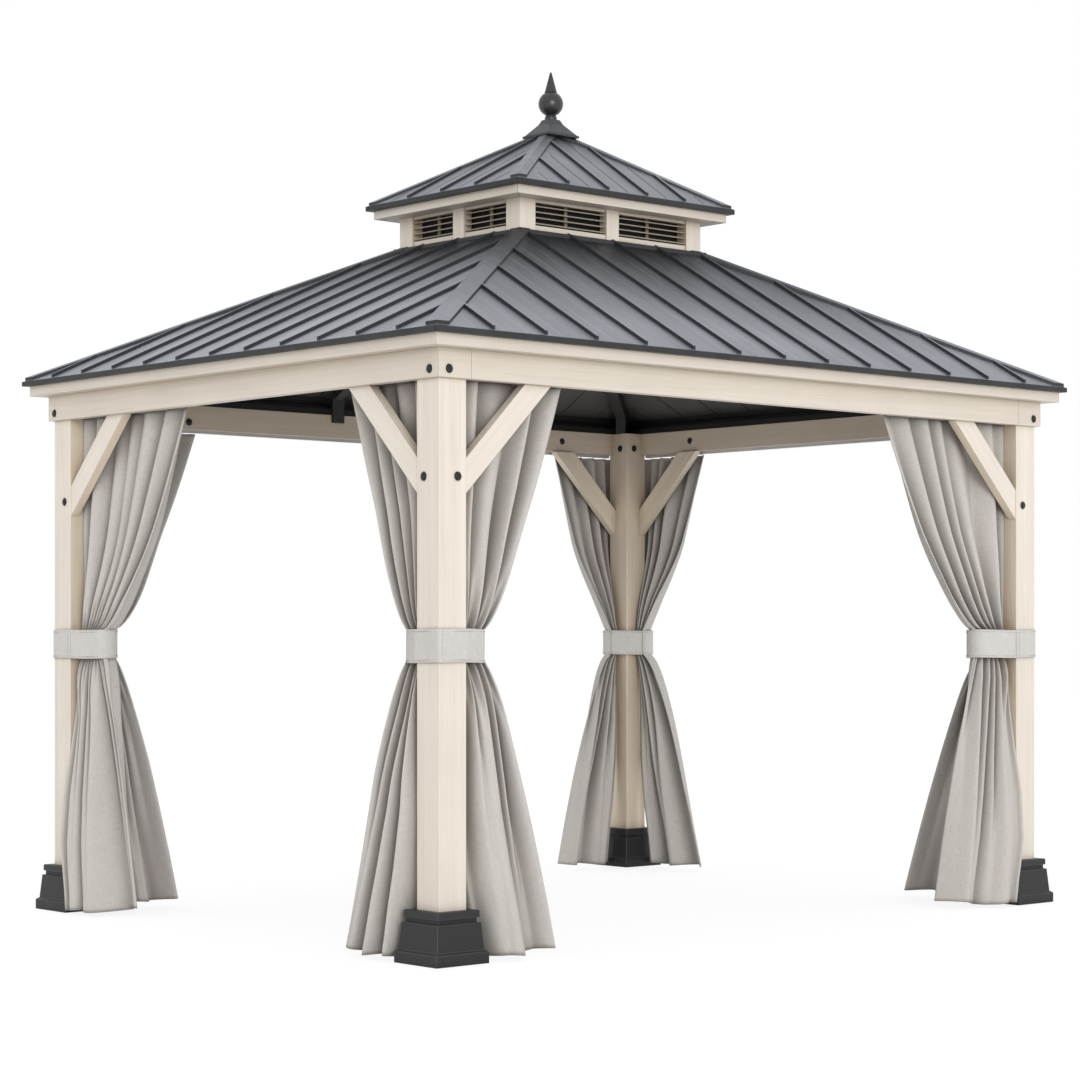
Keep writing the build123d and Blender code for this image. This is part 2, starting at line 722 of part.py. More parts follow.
# Curtain rails: behind the beam on the inside walls, under the beam's outer edge on the others
with BuildPart() as rails:
    for wall in WALLS:
        hang = hang_of(wall)
        length = 2 * (wall.half_run - HALF_POST)
        with BuildSketch(plan_plane(wall, hang.rail_under)) as rail_plan:
            with Locations((0, -wall.set_back - hang.rail)):
                Rectangle(length, RAIL_WIDTH)
        extrude(to_extrude=rail_plan.sketch, amount=RAIL_HEIGHT)
rails.part.label = "curtain_rails"
export_step(rails.part, "parts/curtain_rails.step")


def curtain_levels(wall, place):
    """Sections of one curtain, hem first: height, start, end, line out of the post line, depth."""
    head, shoulder, tie, hem = CURTAIN_REACH[place]
    hang = hang_of(wall)
    start = HALF_POST + CURTAIN_CLEAR
    flare = tie + FLARE_SHARE * (hem - tie)
    flare_line = hang.tie + FLARE_SHARE * (hang.hem - hang.tie)
    return (
        (CURTAIN_HEM, HEM_START, hem, hang.hem, HEM_DEPTH),
        (CURTAIN_FLARE, FLARE_START, flare, flare_line, FLARE_DEPTH),
        (TIE_BOTTOM - CURTAIN_CLEAR, start, tie, hang.tie, BUNDLE_DEPTH),
        (TIE_TOP + CURTAIN_CLEAR, start, tie, hang.tie, BUNDLE_DEPTH),
        (CURTAIN_SHOULDER, start, shoulder, hang.head, CURTAIN_DEPTH),
        (hang.rail_under - CURTAIN_CLEAR, start, head, hang.head, CURTAIN_DEPTH),
    )


# Curtains, tied back to the posts
for wall in WALLS:
    for side, end in zip((-1, 1), wall.ends):
        with BuildPart() as curtain:
            levels = curtain_levels(wall, f"{wall.name}_{end}")
            for lower, upper in zip(levels, levels[1:]):
                for height, start, reach, line, depth in (lower, upper):
                    with BuildSketch(plan_plane(wall, height)):
                        middle = side * (wall.half_run - (start + reach) / 2)
                        with Locations((middle, -wall.set_back - line)):
                            Rectangle(reach - start, depth)
                loft()
        curtain.part.label = f"{wall.name}_curtain_{end}"
        export_step(curtain.part, f"parts/{wall.name}_curtain_{end}.step")

# Tie-backs round each post and its two bundles
for corner, (name, side_x, side_y) in enumerate(CORNERS):
    with BuildSketch(Plane((0, 0, TIE_BOTTOM))) as bundle:
        with Locations((side_x * HALF_X, side_y * HALF_Y)):
            Rectangle(POST_SIDE, POST_SIDE)
        for wall, side in ((WALLS[corner], -1), (WALLS[corner - 1], 1)):
            end = wall.ends[0 if side < 0 else 1]
            start = HALF_POST + CURTAIN_CLEAR
            reach = CURTAIN_REACH[f"{wall.name}_{end}"][2]
            middle = Vector(side * (wall.half_run - (start + reach) / 2), -wall.set_back - hang_of(wall).tie)
            spot = plan_plane(wall).from_local_coords(middle)
            with Locations((spot.X, spot.Y)):
                Rectangle(reach - start, BUNDLE_DEPTH, rotation=wall.turn)
        make_hull()
    with BuildPart() as tie:
        with BuildSketch(Plane((0, 0, TIE_BOTTOM))):
            offset(bundle.sketch, TIE_CLEAR + TIE_THICKNESS, kind=Kind.INTERSECTION)
            offset(bundle.sketch, TIE_CLEAR, kind=Kind.INTERSECTION, mode=Mode.SUBTRACT)
        extrude(amount=TIE_TOP - TIE_BOTTOM)
    tie.part.label = f"tie_back_{name}"
    export_step(tie.part, f"parts/tie_back_{name}.step")
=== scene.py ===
from math import cos, pi, radians, sin
from typing import NamedTuple

import bpy
import numpy as np
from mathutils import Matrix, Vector


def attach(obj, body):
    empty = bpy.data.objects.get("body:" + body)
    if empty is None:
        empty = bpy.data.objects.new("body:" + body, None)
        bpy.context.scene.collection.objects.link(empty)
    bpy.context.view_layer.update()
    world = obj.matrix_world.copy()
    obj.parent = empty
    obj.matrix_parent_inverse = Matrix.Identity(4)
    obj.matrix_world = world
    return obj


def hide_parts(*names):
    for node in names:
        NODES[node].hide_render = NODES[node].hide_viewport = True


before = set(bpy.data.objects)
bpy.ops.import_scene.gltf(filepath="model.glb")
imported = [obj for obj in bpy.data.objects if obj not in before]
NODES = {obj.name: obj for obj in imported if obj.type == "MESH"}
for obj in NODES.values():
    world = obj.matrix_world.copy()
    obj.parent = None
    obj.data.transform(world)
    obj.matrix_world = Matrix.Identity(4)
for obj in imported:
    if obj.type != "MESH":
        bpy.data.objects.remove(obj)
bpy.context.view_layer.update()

# Camera fitted to the photograph: metres, degrees and pixels of a 1080 pixel frame
FRAME_PIXELS = 1080
FOCAL_PIXELS = 2630
HORIZON_PIXEL = 634
CAMERA_TURN = 41.5
CAMERA_SIDE = 0.048
CAMERA_DISTANCE = 11.704
CAMERA_HEIGHT = 1.206
SENSOR_MM = 36

# Light: a soft sun from the front, an even sky, and a floor that stays white around a faint shadow
SUN_FROM = (-0.42, -0.90, 0.07)
SUN_STRENGTH = 1.27
SUN_SPREAD = 28
SKY_STRENGTH = 0.87
FLOOR_SIZE = 60
FLOOR_DEPTH = 0.002
FLOOR_BOUNCE = 0.88
FLOOR_GLOW = 0.85
FLOOR_SHADE = 0.22

# Frame sizes in metres, the same as the solids have
HALF_X = 1.668
HALF_Y = 1.268
POST_HALF = 0.065
BEAM_UNDER = 2.140
BEAM_INNER = 0.039
BEAM_OUTER = 0.083
# Length of the plan over its width, which tells the long walls' members from the short walls'
PLAN_RATIO = 1.32

# Roof planes: half sizes and heights of the eave and of the upper edge
ROOF_EAVE = (1.836, 1.436, 2.313)
ROOF_HEAD = (0.535, 0.404, 2.902)
UPPER_EAVE = (0.644, 0.513, 3.099)
UPPER_HEAD = (0.065, 0.052, 3.410)
ROOF_SHEET = 0.010
# Seams of each slope: number and spacing
LONG_SEAMS = (13, 0.258)
SHORT_SEAMS = (11, 0.240)
UPPER_LONG_SEAMS = (4, 0.230)
UPPER_SHORT_SEAMS = (3, 0.227)
# Ribs between the seams: places, section, room at the eave, hip cap and head, and least length
RIB_SHARES = (0.33, 0.67)
UPPER_RIB_SHARES = (0.5,)
RIB_WIDTH = 0.005
RIB_HEIGHT = 0.0012
RIB_EAVE_GAP = 0.012
CAP_CLEAR = 0.088
HEAD_CLEAR = 0.020
SHORTEST_RIB = 0.06
# Joints of the sheets, seen from below
UNDER_RIB_WIDTH = 0.012
UNDER_RIB_HEIGHT = 0.006
UNDER_RIB_GAP = 0.04
# Width of a ridge's crown as a share of its foot
RIDGE_CROWN = 0.4

# Curtains: heights of the hem, heads and tie, start of the edge by the post, and a height below the braces
CURTAIN_HEM = 0.014
INSIDE_HEAD = 2.150
OUTSIDE_HEAD = 2.122
TIE_BOTTOM = 1.100
TIE_TOP = 1.225
CURTAIN_START = 0.069
BRACE_CLEAR = 1.700
# Bends of the middle line and of the free edge below the tie
LINE_BEND = 0.67
REACH_BEND = 0.78
REAR_REACH_BEND = 0.62
# Middle line's distance from the post line: inside the braces, by the post, outside them, and at the tie
INSIDE_LINE = -0.052
NEAR_LINE = -0.006
NEAR_SPAN = 0.10
OUTSIDE_LINE = 0.114
INSIDE_TIE_LINE = -0.014
OUTSIDE_TIE_LINE = 0.026
# Hem: how it turns in at the post, crosses in front of it, rises to the free edge and waves
NEAR_TURN = 0.07
OVER_TURN = 0.14
OVER_BEND = 1.8
FREE_HEM_RISE = 0.012
HEM_WAVE = 0.004
HEM_WAVES = 1.6
# Height and start of the edge by the post below the tie: beside the plinth, or across the front of it
BESIDE_POST = ((0.014, 0.131), (0.042, 0.130), (0.200, 0.112), (0.340, 0.090), (0.560, 0.069))
OVER_POST = ((0.014, 0.150), (0.100, 0.128), (0.200, 0.095), (0.300, 0.068), (0.500, 0.058), (0.700, 0.072),
             (0.880, 0.076), (1.000, 0.069))
# Width of the flat cloth: a fixed part and a share of the head's width
FLAT_FIXED = 0.20
FLAT_SHARE = 1.02
# Deepest folds at the head, tie and hem, and the steps that find how deep they are
FOLD_DEPTH_HEAD = 0.056
FOLD_DEPTH_TIE = 0.043
FOLD_DEPTH_HEM = 0.078
DEPTH_STEPS = 16
DEPTH_SMOOTH = 4
# Section of a fold: share and power of its round crest, and softness of its valleys
CREST_SHARE = 0.72
CREST_POWER = 0.85
FOLD_SOFT = 0.05
LOBE_SOFT = 0.14
# Uneven folds: size of each wave, and its radians in a metre of height and in the whole width
FOLD_WIDTHS = ((0.036, 0, 2 * pi), (0.022, 0, 4 * pi))
FOLD_WANDERS = ((0.40, 2.0, 0), (0.35, 3.4, 5))
FOLD_DEPTHS = ((0.34, 0, 2 * pi * 1.4), (0.22, 2.6, 9))
LOBE_WIDTH = (0.04, 0, 2 * pi)
LOBE_WANDER = (0.25, 2.0, 0)
LOBE_DEPTH = (0.18, 0, 7)
# Phase of the last fold for each direction from the post
FOLD_END = {1: pi + 0.9, -1: pi + 0.1}
# Small pleats at the tie: size and reach
PINCH = 0.60
PINCH_REACH = 0.22
# Below the tie the folds fade to a small rest, and the lobes grow
FOLD_FADE = 1.4
FOLD_REST = 0.12
LOBE_SIZE = 1.05
LOBE_GROWTH = 0.7
# Folds at the edge by the post: their share of depth there, and the share of width in which they grow
EDGE_FOLD = 0.15
EDGE_SPAN = 0.12
# Curtains over a post: shares of width in which the folds begin and deepen, and the drop below the tie
OVER_EDGE_SPAN = 0.10
OVER_CALM_START = 0.08
OVER_CALM = 0.35
OVER_DROP = 0.3
# Cloth: points down and across, thickness, and hems at the foot, sides and head
CLOTH_ROWS = 116
CLOTH_COLUMNS = 138
CLOTH_THICKNESS = 0.0016
HEM_EXTRA = 0.0022
HEM_HEIGHT = 0.045
SIDE_HEM = 0.030
HEADING_HEIGHT = 0.055
HEM_RAMP = 0.01
# Hook rings on the heads
HOOK_LIFT = 0.001
HOOK_RADIUS = 0.006
HOOK_WIRE = 0.0012

# Tie-backs: band round a post and its two bundles of cloth
BUNDLE_HALF = 0.045
BUNDLE_END = 0.030
BUNDLE_STEPS = 8
BAND_CLEAR = 0.0045
BAND_THICKNESS = 0.003
BAND_POINTS = 176
BAND_ROWS = 15
BAND_HEM = 0.012
BAND_HEM_RAMP = 0.004
BAND_HEM_EXTRA = 0.0012
# Puckers along the band's edges, slow waves in its face, and its sag: size and radians in a metre
EDGE_PUCKER = (0.0007, 330)
EDGE_PUCKER_REACH = 0.03
BAND_WAVE = (0.0012, 41)
BAND_SAG = (0.0015, 17)
# Stitches along both hems and beside the lap
STITCH_INSET = 0.010
STITCH_SIZE = 0.0011
SEAM_STEP = 0.006
SEAM_STITCH = 0.7
LAP_POINTS = 2
LAP_EXTRA = 0.0020


class Wall(NamedTuple):
    """Directions along and out of a wall, and whether its curtains hang inside the braces."""

    along: tuple
    out: tuple
    inside: bool


FRONT = Wall((1, 0), (0, -1), True)
RIGHT = Wall((0, 1), (1, 0), False)
BACK = Wall((1, 0), (0, 1), False)
LEFT = Wall((0, 1), (-1, 0), True)

POSTS = {
    "front_left": (-HALF_X, -HALF_Y),
    "front_right": (HALF_X, -HALF_Y),
    "back_right": (HALF_X, HALF_Y),
    "back_left": (-HALF_X, HALF_Y),
}


class Curtain(NamedTuple):
    """Where a curtain hangs, its reach along the wall, how far its hem stands out, and its folds."""

    post: str
    wall: Wall
    way: int  # direction along the wall, away from the post
    path: tuple  # edge by the post, below the tie
    start: float  # place of that edge at the head
    head: float  # reach of the free edge at the head, tie and hem
    tie: float
    hem: float
    edge: float  # hem's distance from the post line at the edge by the post, beside it and at the free edge
    near: float
    far: float
    bend: float  # bend of the free edge above the tie
    folds: int
    lobes: float  # broad folds at the hem, and the phase of the last one
    last: float
    seed: int


CURTAINS = {
    "front_curtain_left": Curtain(
        "front_left", FRONT, 1, BESIDE_POST, start=0.072, head=0.605, tie=0.192, hem=0.425,
        edge=0.000, near=0.092, far=0.075, bend=0.74, folds=4, lobes=1.7, last=3.0, seed=11),
    "front_curtain_right": Curtain(
        "front_right", FRONT, -1, OVER_POST, start=0.072, head=0.853, tie=0.275, hem=0.480,
        edge=0.134, near=0.134, far=-0.070, bend=0.67, folds=6, lobes=1.8, last=5.2, seed=12),
    "right_curtain_front": Curtain(
        "front_right", RIGHT, 1, BESIDE_POST, start=0.068, head=0.560, tie=0.200, hem=0.490,
        edge=0.000, near=0.010, far=-0.120, bend=0.67, folds=5, lobes=2.5, last=4.0, seed=13),
    "right_curtain_back": Curtain(
        "back_right", RIGHT, -1, BESIDE_POST, start=0.000, head=0.475, tie=0.130, hem=0.565,
        edge=0.045, near=0.060, far=0.040, bend=0.85, folds=5, lobes=2.0, last=3.0, seed=14),
    "back_curtain_right": Curtain(
        "back_right", BACK, -1, BESIDE_POST, start=0.000, head=0.430, tie=0.120, hem=0.465,
        edge=0.010, near=0.040, far=0.040, bend=0.80, folds=5, lobes=1.7, last=5.2, seed=15),
    "back_curtain_left": Curtain(
        "back_left", BACK, 1, BESIDE_POST, start=0.068, head=0.690, tie=0.200, hem=0.410,
        edge=0.000, near=0.010, far=-0.127, bend=0.67, folds=6, lobes=2.5, last=4.0, seed=16),
    "left_curtain_back": Curtain(
        "back_left", LEFT, -1, OVER_POST, start=0.072, head=0.827, tie=0.262, hem=0.450,
        edge=0.140, near=0.140, far=-0.110, bend=0.67, folds=6, lobes=2.4, last=2.9, seed=17),
    "left_curtain_front": Curtain(
        "front_left", LEFT, 1, BESIDE_POST, start=0.072, head=0.580, tie=0.178, hem=0.427,
        edge=0.000, near=0.092, far=0.075, bend=0.74, folds=5, lobes=2.5, last=5.4, seed=18),
}

# Materials: samples of the shading nodes, and colours that the finishes share
HOLLOW_SAMPLES = 8
BEVEL_SAMPLES = 6
WHITE = (1.0, 1.0, 1.0)
# Cream coat: grain, streaks, clouds, painted shade on inward faces and in corners, stretch of the grain,
# and a brace's slant
CREAM_GRAIN = ((0.790, 0.718, 0.620), (0.850, 0.785, 0.690))
CREAM_STREAK = (0.600, 0.520, 0.425)
CREAM_CLOUD = (0.95, 0.95, 0.955)
CREAM_INSIDE_SHADE = (1.00, 0.94, 0.86)
CREAM_CORNER_SHADE = (0.60, 0.54, 0.47)
GRAIN_STRETCH = 0.022
BRACE_SLANT = 0.7
# Roof sheet: patches, painted shade at the slope's head and on the seams' sides, underside, gleam, metal
# share, and brushing's stretch
ROOF_PATCH = (0.200, 0.210, 0.228)
ROOF_HEAD_SHADE = (0.19, 0.19, 0.195)
SEAM_SIDE_SHADE = (0.030, 0.032, 0.035)
ROOF_UNDERSIDE = (0.115, 0.112, 0.106)
ROOF_GLEAM = (0.55, 0.57, 0.60)
ROOF_METAL = 0.85
BRUSH_STRETCH = 0.03
# Paint: depth of its texture, spread of its roughness, and the painted shade in a moulded part's steps
PAINT_BUMP = 0.00035
ROUGH_SPREAD = 0.06
STEP_SHADE = (0.25, 0.25, 0.25)
# Cloth: threads, slubs and faint clouds
CLOTH_THREADS = 300.0
SLUB_STRETCH = 0.09
CLOTH_CLOUD = (0.96, 0.96, 0.965)


def make_camera():
    turn = radians(CAMERA_TURN)
    data = bpy.data.cameras.new("camera")
    data.sensor_width = SENSOR_MM
    data.lens = FOCAL_PIXELS / FRAME_PIXELS * SENSOR_MM
    data.shift_y = (HORIZON_PIXEL - FRAME_PIXELS / 2) / FRAME_PIXELS
    camera = bpy.data.objects.new("camera", data)
    camera.location = (
        -CAMERA_SIDE * cos(turn) - CAMERA_DISTANCE * sin(turn),
        CAMERA_SIDE * sin(turn) - CAMERA_DISTANCE * cos(turn),
        CAMERA_HEIGHT,
    )
    camera.rotation_euler = (pi / 2, 0, -turn)
    bpy.context.collection.objects.link(camera)
    bpy.context.scene.camera = camera


class Finish:
    """One procedural material, built node by node."""

    def __init__(self, name):
        self.material = bpy.data.materials.new(name)
        self.material.use_nodes = True
        self.tree = self.material.node_tree
        self.surface = self.tree.nodes["Principled BSDF"]
        self.place = self.add("TexCoord").outputs["Object"]

    def add(self, kind, inputs=None, **settings):
        node = self.tree.nodes.new("ShaderNode" + kind)
        for name, value in settings.items():
            setattr(node, name, value)
        for socket, value in (inputs or {}).items():
            self.feed(node, socket, value)
        return node

    def feed(self, node, socket, value):
        if isinstance(value, bpy.types.NodeSocket):
            self.tree.links.new(value, node.inputs[socket])
        else:
            node.inputs[socket].default_value = value

    def math(self, operation, *values):
        return self.add("Math", dict(enumerate(values)), operation=operation).outputs[0]

    def split(self, vector):
        return list(self.add("SeparateXYZ", {0: vector}).outputs)

    def join(self, *values):
        return self.add("CombineXYZ", dict(enumerate(values))).outputs[0]

    def scaled(self, value, factor):
        return self.math("MULTIPLY", value, factor)

    def noise(self, vector, scale, detail=3.0):
        return self.add("TexNoise", {"Vector": vector, "Scale": scale, "Detail": detail}).outputs[0]

    def span(self, value, low, high, to_low=0.0, to_high=1.0):
        inputs = {"Value": value, "From Min": low, "From Max": high, "To Min": to_low, "To Max": to_high}
        return self.add("MapRange", inputs).outputs[0]

    def mix(self, factor, first, second, blend="MIX"):
        inputs = {0: factor, 6: colour(first), 7: colour(second)}
        return self.add("Mix", inputs, data_type="RGBA", blend_type=blend).outputs[2]

    def bump(self, height, depth, normal=None):
        node = self.add("Bump", {"Height": height, "Distance": depth, "Strength": 1.0})
        if normal is not None:
            self.feed(node, "Normal", normal)
        return node.outputs[0]

    def hollow(self, reach, low, high):
        """How open the surface lies, from 0 in a narrow fold to 1."""
        node = self.add("AmbientOcclusion", {"Distance": reach}, samples=HOLLOW_SAMPLES)
        return self.span(node.outputs["AO"], low, high)

    def rounded(self, radius):
        """Normals that turn softly over the edges."""
        return self.add("Bevel", {"Radius": radius}, samples=BEVEL_SAMPLES).outputs[0]

    def dress(self, inputs):
        for socket, value in inputs.items():
            self.feed(self.surface, socket, colour(value))
        return self.material


def colour(value):
    """A colour triple with its alpha; anything else is passed on."""
    if isinstance(value, tuple) and len(value) == 3:
        return (*value, 1.0)
    return value


def cream_finish(name, way, shade_tint=WHITE, inside=CREAM_INSIDE_SHADE):
    """Cream powder coat with a grain along each member, and painted shade: a tint over the whole coat where
    one is given, a darker tone on the faces that look inward, and a darker tone in corners.
    """
    finish = Finish(name)
    x, y, z = finish.split(finish.place)
    far_x = finish.math("ABSOLUTE", x)
    far_y = finish.scaled(finish.math("ABSOLUTE", y), PLAN_RATIO)
    side = finish.math("GREATER_THAN", far_x, far_y)
    shift = finish.scaled(finish.math("SUBTRACT", y, x), side)
    level = finish.math("ADD", x, shift)
    across = finish.math("SUBTRACT", y, shift)
    if way == "upright":
        run, first, second = z, x, y
    elif way == "brace":
        reach = finish.math("ABSOLUTE", level)
        run = finish.scaled(finish.math("SUBTRACT", z, reach), BRACE_SLANT)
        first, second = finish.scaled(finish.math("ADD", z, reach), BRACE_SLANT), across
    else:
        run, first, second = level, z, across
    vector = finish.join(first, second, finish.scaled(run, GRAIN_STRETCH))
    fine = finish.noise(vector, 170.0, 4.0)
    broad = finish.noise(vector, 34.0, 3.0)
    cloud = finish.noise(finish.place, 3.0, 2.0)
    grain = finish.mix(finish.span(broad, 0.30, 0.70), *CREAM_GRAIN)
    streak = finish.span(fine, 0.52, 0.70, 0.0, 0.22)
    grain = finish.mix(streak, grain, CREAM_STREAK)
    shade = finish.mix(finish.span(cloud, 0.3, 0.7), CREAM_CLOUD, WHITE)
    base = finish.mix(1.0, grain, shade, "MULTIPLY")
    base = finish.mix(1.0, base, shade_tint, "MULTIPLY")
    # Faces that look inward take a darker, warmer tone: painted shade
    facing = finish.split(finish.add("NewGeometry").outputs["True Normal"])
    outward_x = finish.math("MULTIPLY", facing[0], x)
    outward_y = finish.math("MULTIPLY", facing[1], y)
    outward = finish.math("ADD", outward_x, outward_y)
    inner = finish.mix(1.0, base, inside, "MULTIPLY")
    base = finish.mix(finish.math("LESS_THAN", outward, -0.3), base, inner)
    # Corners and narrow gaps take a darker tone: painted shade
    corner_shaded = finish.mix(1.0, base, CREAM_CORNER_SHADE, "MULTIPLY")
    return finish.dress({
        "Base Color": finish.mix(finish.hollow(0.14, 0.10, 0.80), corner_shaded, base),
        "Roughness": finish.span(fine, 0.3, 0.7, 0.42, 0.58),
        "Specular IOR Level": 0.35,
        "Normal": finish.bump(fine, 0.0004, finish.rounded(0.004)),
    })


def roof_finish(name, axis, low_z, high_z, dark, light):
    """Charcoal sheet brushed down the slope, with painted shade toward its head and on the seams' sides,
    and darker below.
    """
    finish = Finish(name)
    place = finish.split(finish.place)
    across, run = (place[0], place[1]) if axis == "x" else (place[1], place[0])
    height = place[2]
    vector = finish.join(across, finish.scaled(run, BRUSH_STRETCH), finish.scaled(height, BRUSH_STRETCH))
    streak = finish.noise(vector, 120.0, 4.0)
    band = finish.noise(vector, 22.0, 2.0)
    cloud = finish.noise(finish.place, 2.2, 2.0)
    tilt = finish.split(finish.add("NewGeometry").outputs["True Normal"])[2]
    under = finish.math("LESS_THAN", tilt, -0.05)
    steep = finish.math("LESS_THAN", tilt, 0.45)
    tone = finish.math("ADD", finish.scaled(streak, 0.45), finish.scaled(band, 0.55))
    sheet = finish.mix(finish.span(tone, 0.38, 0.62), dark, light)
    sheet = finish.mix(finish.span(cloud, 0.35, 0.7, 0.0, 0.30), sheet, ROOF_PATCH)
    # The sheet darkens toward the slope's head: painted shade
    painted_head_shade = finish.mix(finish.span(height, low_z, high_z), WHITE, ROOF_HEAD_SHADE)
    sheet = finish.mix(1.0, sheet, painted_head_shade, "MULTIPLY")
    # Steep faces, the seams' sides among them, take a dark tone: painted shade
    sheet = finish.mix(steep, sheet, SEAM_SIDE_SHADE)
    base = finish.mix(under, sheet, ROOF_UNDERSIDE)
    rough = finish.span(streak, 0.3, 0.7, 0.34, 0.48)
    return finish.dress({
        "Base Color": base,
        "Metallic": finish.math("SUBTRACT", ROOF_METAL, finish.scaled(steep, ROOF_METAL)),
        "Roughness": finish.math("ADD", rough, finish.scaled(steep, 0.15)),
        "Specular Tint": ROOF_GLEAM,
        "Normal": finish.bump(streak, 0.00025),
    })


def painted_finish(name, dark, light, rough, speckle, metal=0.0, edge=0.0025, shine=0.25):
    """Plain paint or metal with a fine texture and softened edges."""
    finish = Finish(name)
    fine = finish.noise(finish.place, speckle, 3.0)
    cloud = finish.noise(finish.place, 6.0, 3.0)
    tone = finish.math("ADD", finish.scaled(fine, 0.5), finish.scaled(cloud, 0.5))
    return finish.dress({
        "Base Color": finish.mix(finish.span(tone, 0.35, 0.65), dark, light),
        "Metallic": metal,
        "Specular IOR Level": shine,
        "Roughness": finish.span(fine, 0.3, 0.7, rough - ROUGH_SPREAD, rough + ROUGH_SPREAD),
        "Normal": finish.bump(fine, PAINT_BUMP, finish.rounded(edge)),
    })


def moulded_finish(name, dark, light, edge_highlight, rough, speckle, edge):
    """Dark moulded paint, with a painted highlight along its edges and painted shade in its steps."""
    finish = Finish(name)
    fine = finish.noise(finish.place, speckle, 3.0)
    soft = finish.rounded(edge)
    face = finish.add("TexCoord").outputs["Normal"]
    flatness = finish.add("VectorMath", {0: soft, 1: face}, operation="DOT_PRODUCT").outputs["Value"]
    openness = finish.hollow(0.05, 0.30, 0.85)
    # Edges take a lighter tone: painted highlight
    highlight_mask = finish.math("MULTIPLY", finish.span(flatness, 0.99, 0.88), openness)
    paint = finish.mix(finish.span(fine, 0.35, 0.65), dark, light)
    paint = finish.mix(highlight_mask, paint, edge_highlight)
    # Steps and recesses take a darker tone: painted shade
    shade = finish.mix(openness, STEP_SHADE, WHITE)
    return finish.dress({
        "Base Color": finish.mix(1.0, paint, shade, "MULTIPLY"),
        "Specular IOR Level": 0.25,
        "Roughness": finish.span(fine, 0.3, 0.7, rough - ROUGH_SPREAD, rough + ROUGH_SPREAD),
        "Normal": finish.bump(fine, PAINT_BUMP, soft),
    })


def cloth_finish(name, dark, light, deep):
    """Plain weave with slubs along both threads, over the cloth's own width and height, and painted shade
    deep in the folds.
    """
    finish = Finish(name)
    across, along, rest = finish.split(finish.add("UVMap", uv_map="cloth").outputs[0])
    weft_place = finish.join(finish.scaled(across, SLUB_STRETCH), along, rest)
    warp_place = finish.join(across, finish.scaled(along, SLUB_STRETCH), rest)
    weft = finish.noise(weft_place, CLOTH_THREADS)
    warp = finish.noise(warp_place, CLOTH_THREADS)
    thread = finish.scaled(finish.math("ADD", weft, warp), 0.5)
    cloud = finish.noise(finish.place, 5.0, 2.0)
    weave = finish.mix(finish.span(thread, 0.38, 0.62), dark, light)
    shade = finish.mix(finish.span(cloud, 0.3, 0.7), CLOTH_CLOUD, WHITE)
    weave = finish.mix(1.0, weave, shade, "MULTIPLY")
    return finish.dress({
        # Deep in the folds the cloth takes a darker tone: painted shade
        "Base Color": finish.mix(finish.hollow(0.10, 0.14, 0.80), deep, weave),
        "Roughness": finish.span(thread, 0.3, 0.7, 0.80, 0.95),
        "Specular IOR Level": 0.15,
        "Sheen Weight": 0.12,
        "Sheen Roughness": 0.5,
        "Normal": finish.bump(thread, 0.0006),
    })


# Cream members: the level ones a little darker and the louvres much darker as painted shade, and the eave
# boards' inward faces near black as painted shade
LEVEL_SHADE = (0.90, 0.89, 0.88)
LOUVRE_SHADE = (0.50, 0.47, 0.43)
EAVE_INSIDE_SHADE = (0.03, 0.03, 0.03)
CREAM_UPRIGHT = cream_finish("cream_upright", "upright")
CREAM_LEVEL = cream_finish("cream_level", "level", LEVEL_SHADE)
CREAM_EAVE = cream_finish("cream_eave", "level", LEVEL_SHADE, EAVE_INSIDE_SHADE)
CREAM_BRACE = cream_finish("cream_brace", "brace")
LOUVRE_CREAM = cream_finish("louvre_cream", "level", LOUVRE_SHADE)
# Roof slopes: the way across them, and the heights between which painted shade darkens them toward the head
# The short slopes take a lighter tone and the upper roof a darker one than the long slopes: painted light
# and shade on one sheet metal
LONG_TONES = ((0.372, 0.389, 0.417), (0.446, 0.463, 0.491))
SHORT_TONES = ((0.468, 0.488, 0.522), (0.562, 0.583, 0.617))
UPPER_TONES = ((0.335, 0.351, 0.376), (0.402, 0.418, 0.443))
ROOF_LONG = roof_finish("roof_long", "x", 2.42, 2.90, *LONG_TONES)
ROOF_SHORT = roof_finish("roof_short", "y", 2.46, 2.88, *SHORT_TONES)
UPPER_LONG = roof_finish("upper_long", "x", 3.25, 3.48, *UPPER_TONES)
UPPER_SHORT = roof_finish("upper_short", "y", 3.22, 3.46, *UPPER_TONES)
# Paint, plastic and small metal parts: dark and light tone, roughness and grains in a metre
EDGE_TRIM = painted_finish("edge_trim", (0.024, 0.025, 0.027), (0.042, 0.044, 0.047), 0.46, 240.0)
UNDER_RIB = painted_finish("under_rib", (0.070, 0.068, 0.065), (0.095, 0.093, 0.088), 0.50, 300.0)
RAFTER_DARK = painted_finish("rafter_dark", (0.044, 0.044, 0.043), (0.062, 0.062, 0.060), 0.50, 420.0)
DARK_FRAME = painted_finish("dark_frame", (0.012, 0.012, 0.012), (0.022, 0.022, 0.023), 0.60, 420.0)
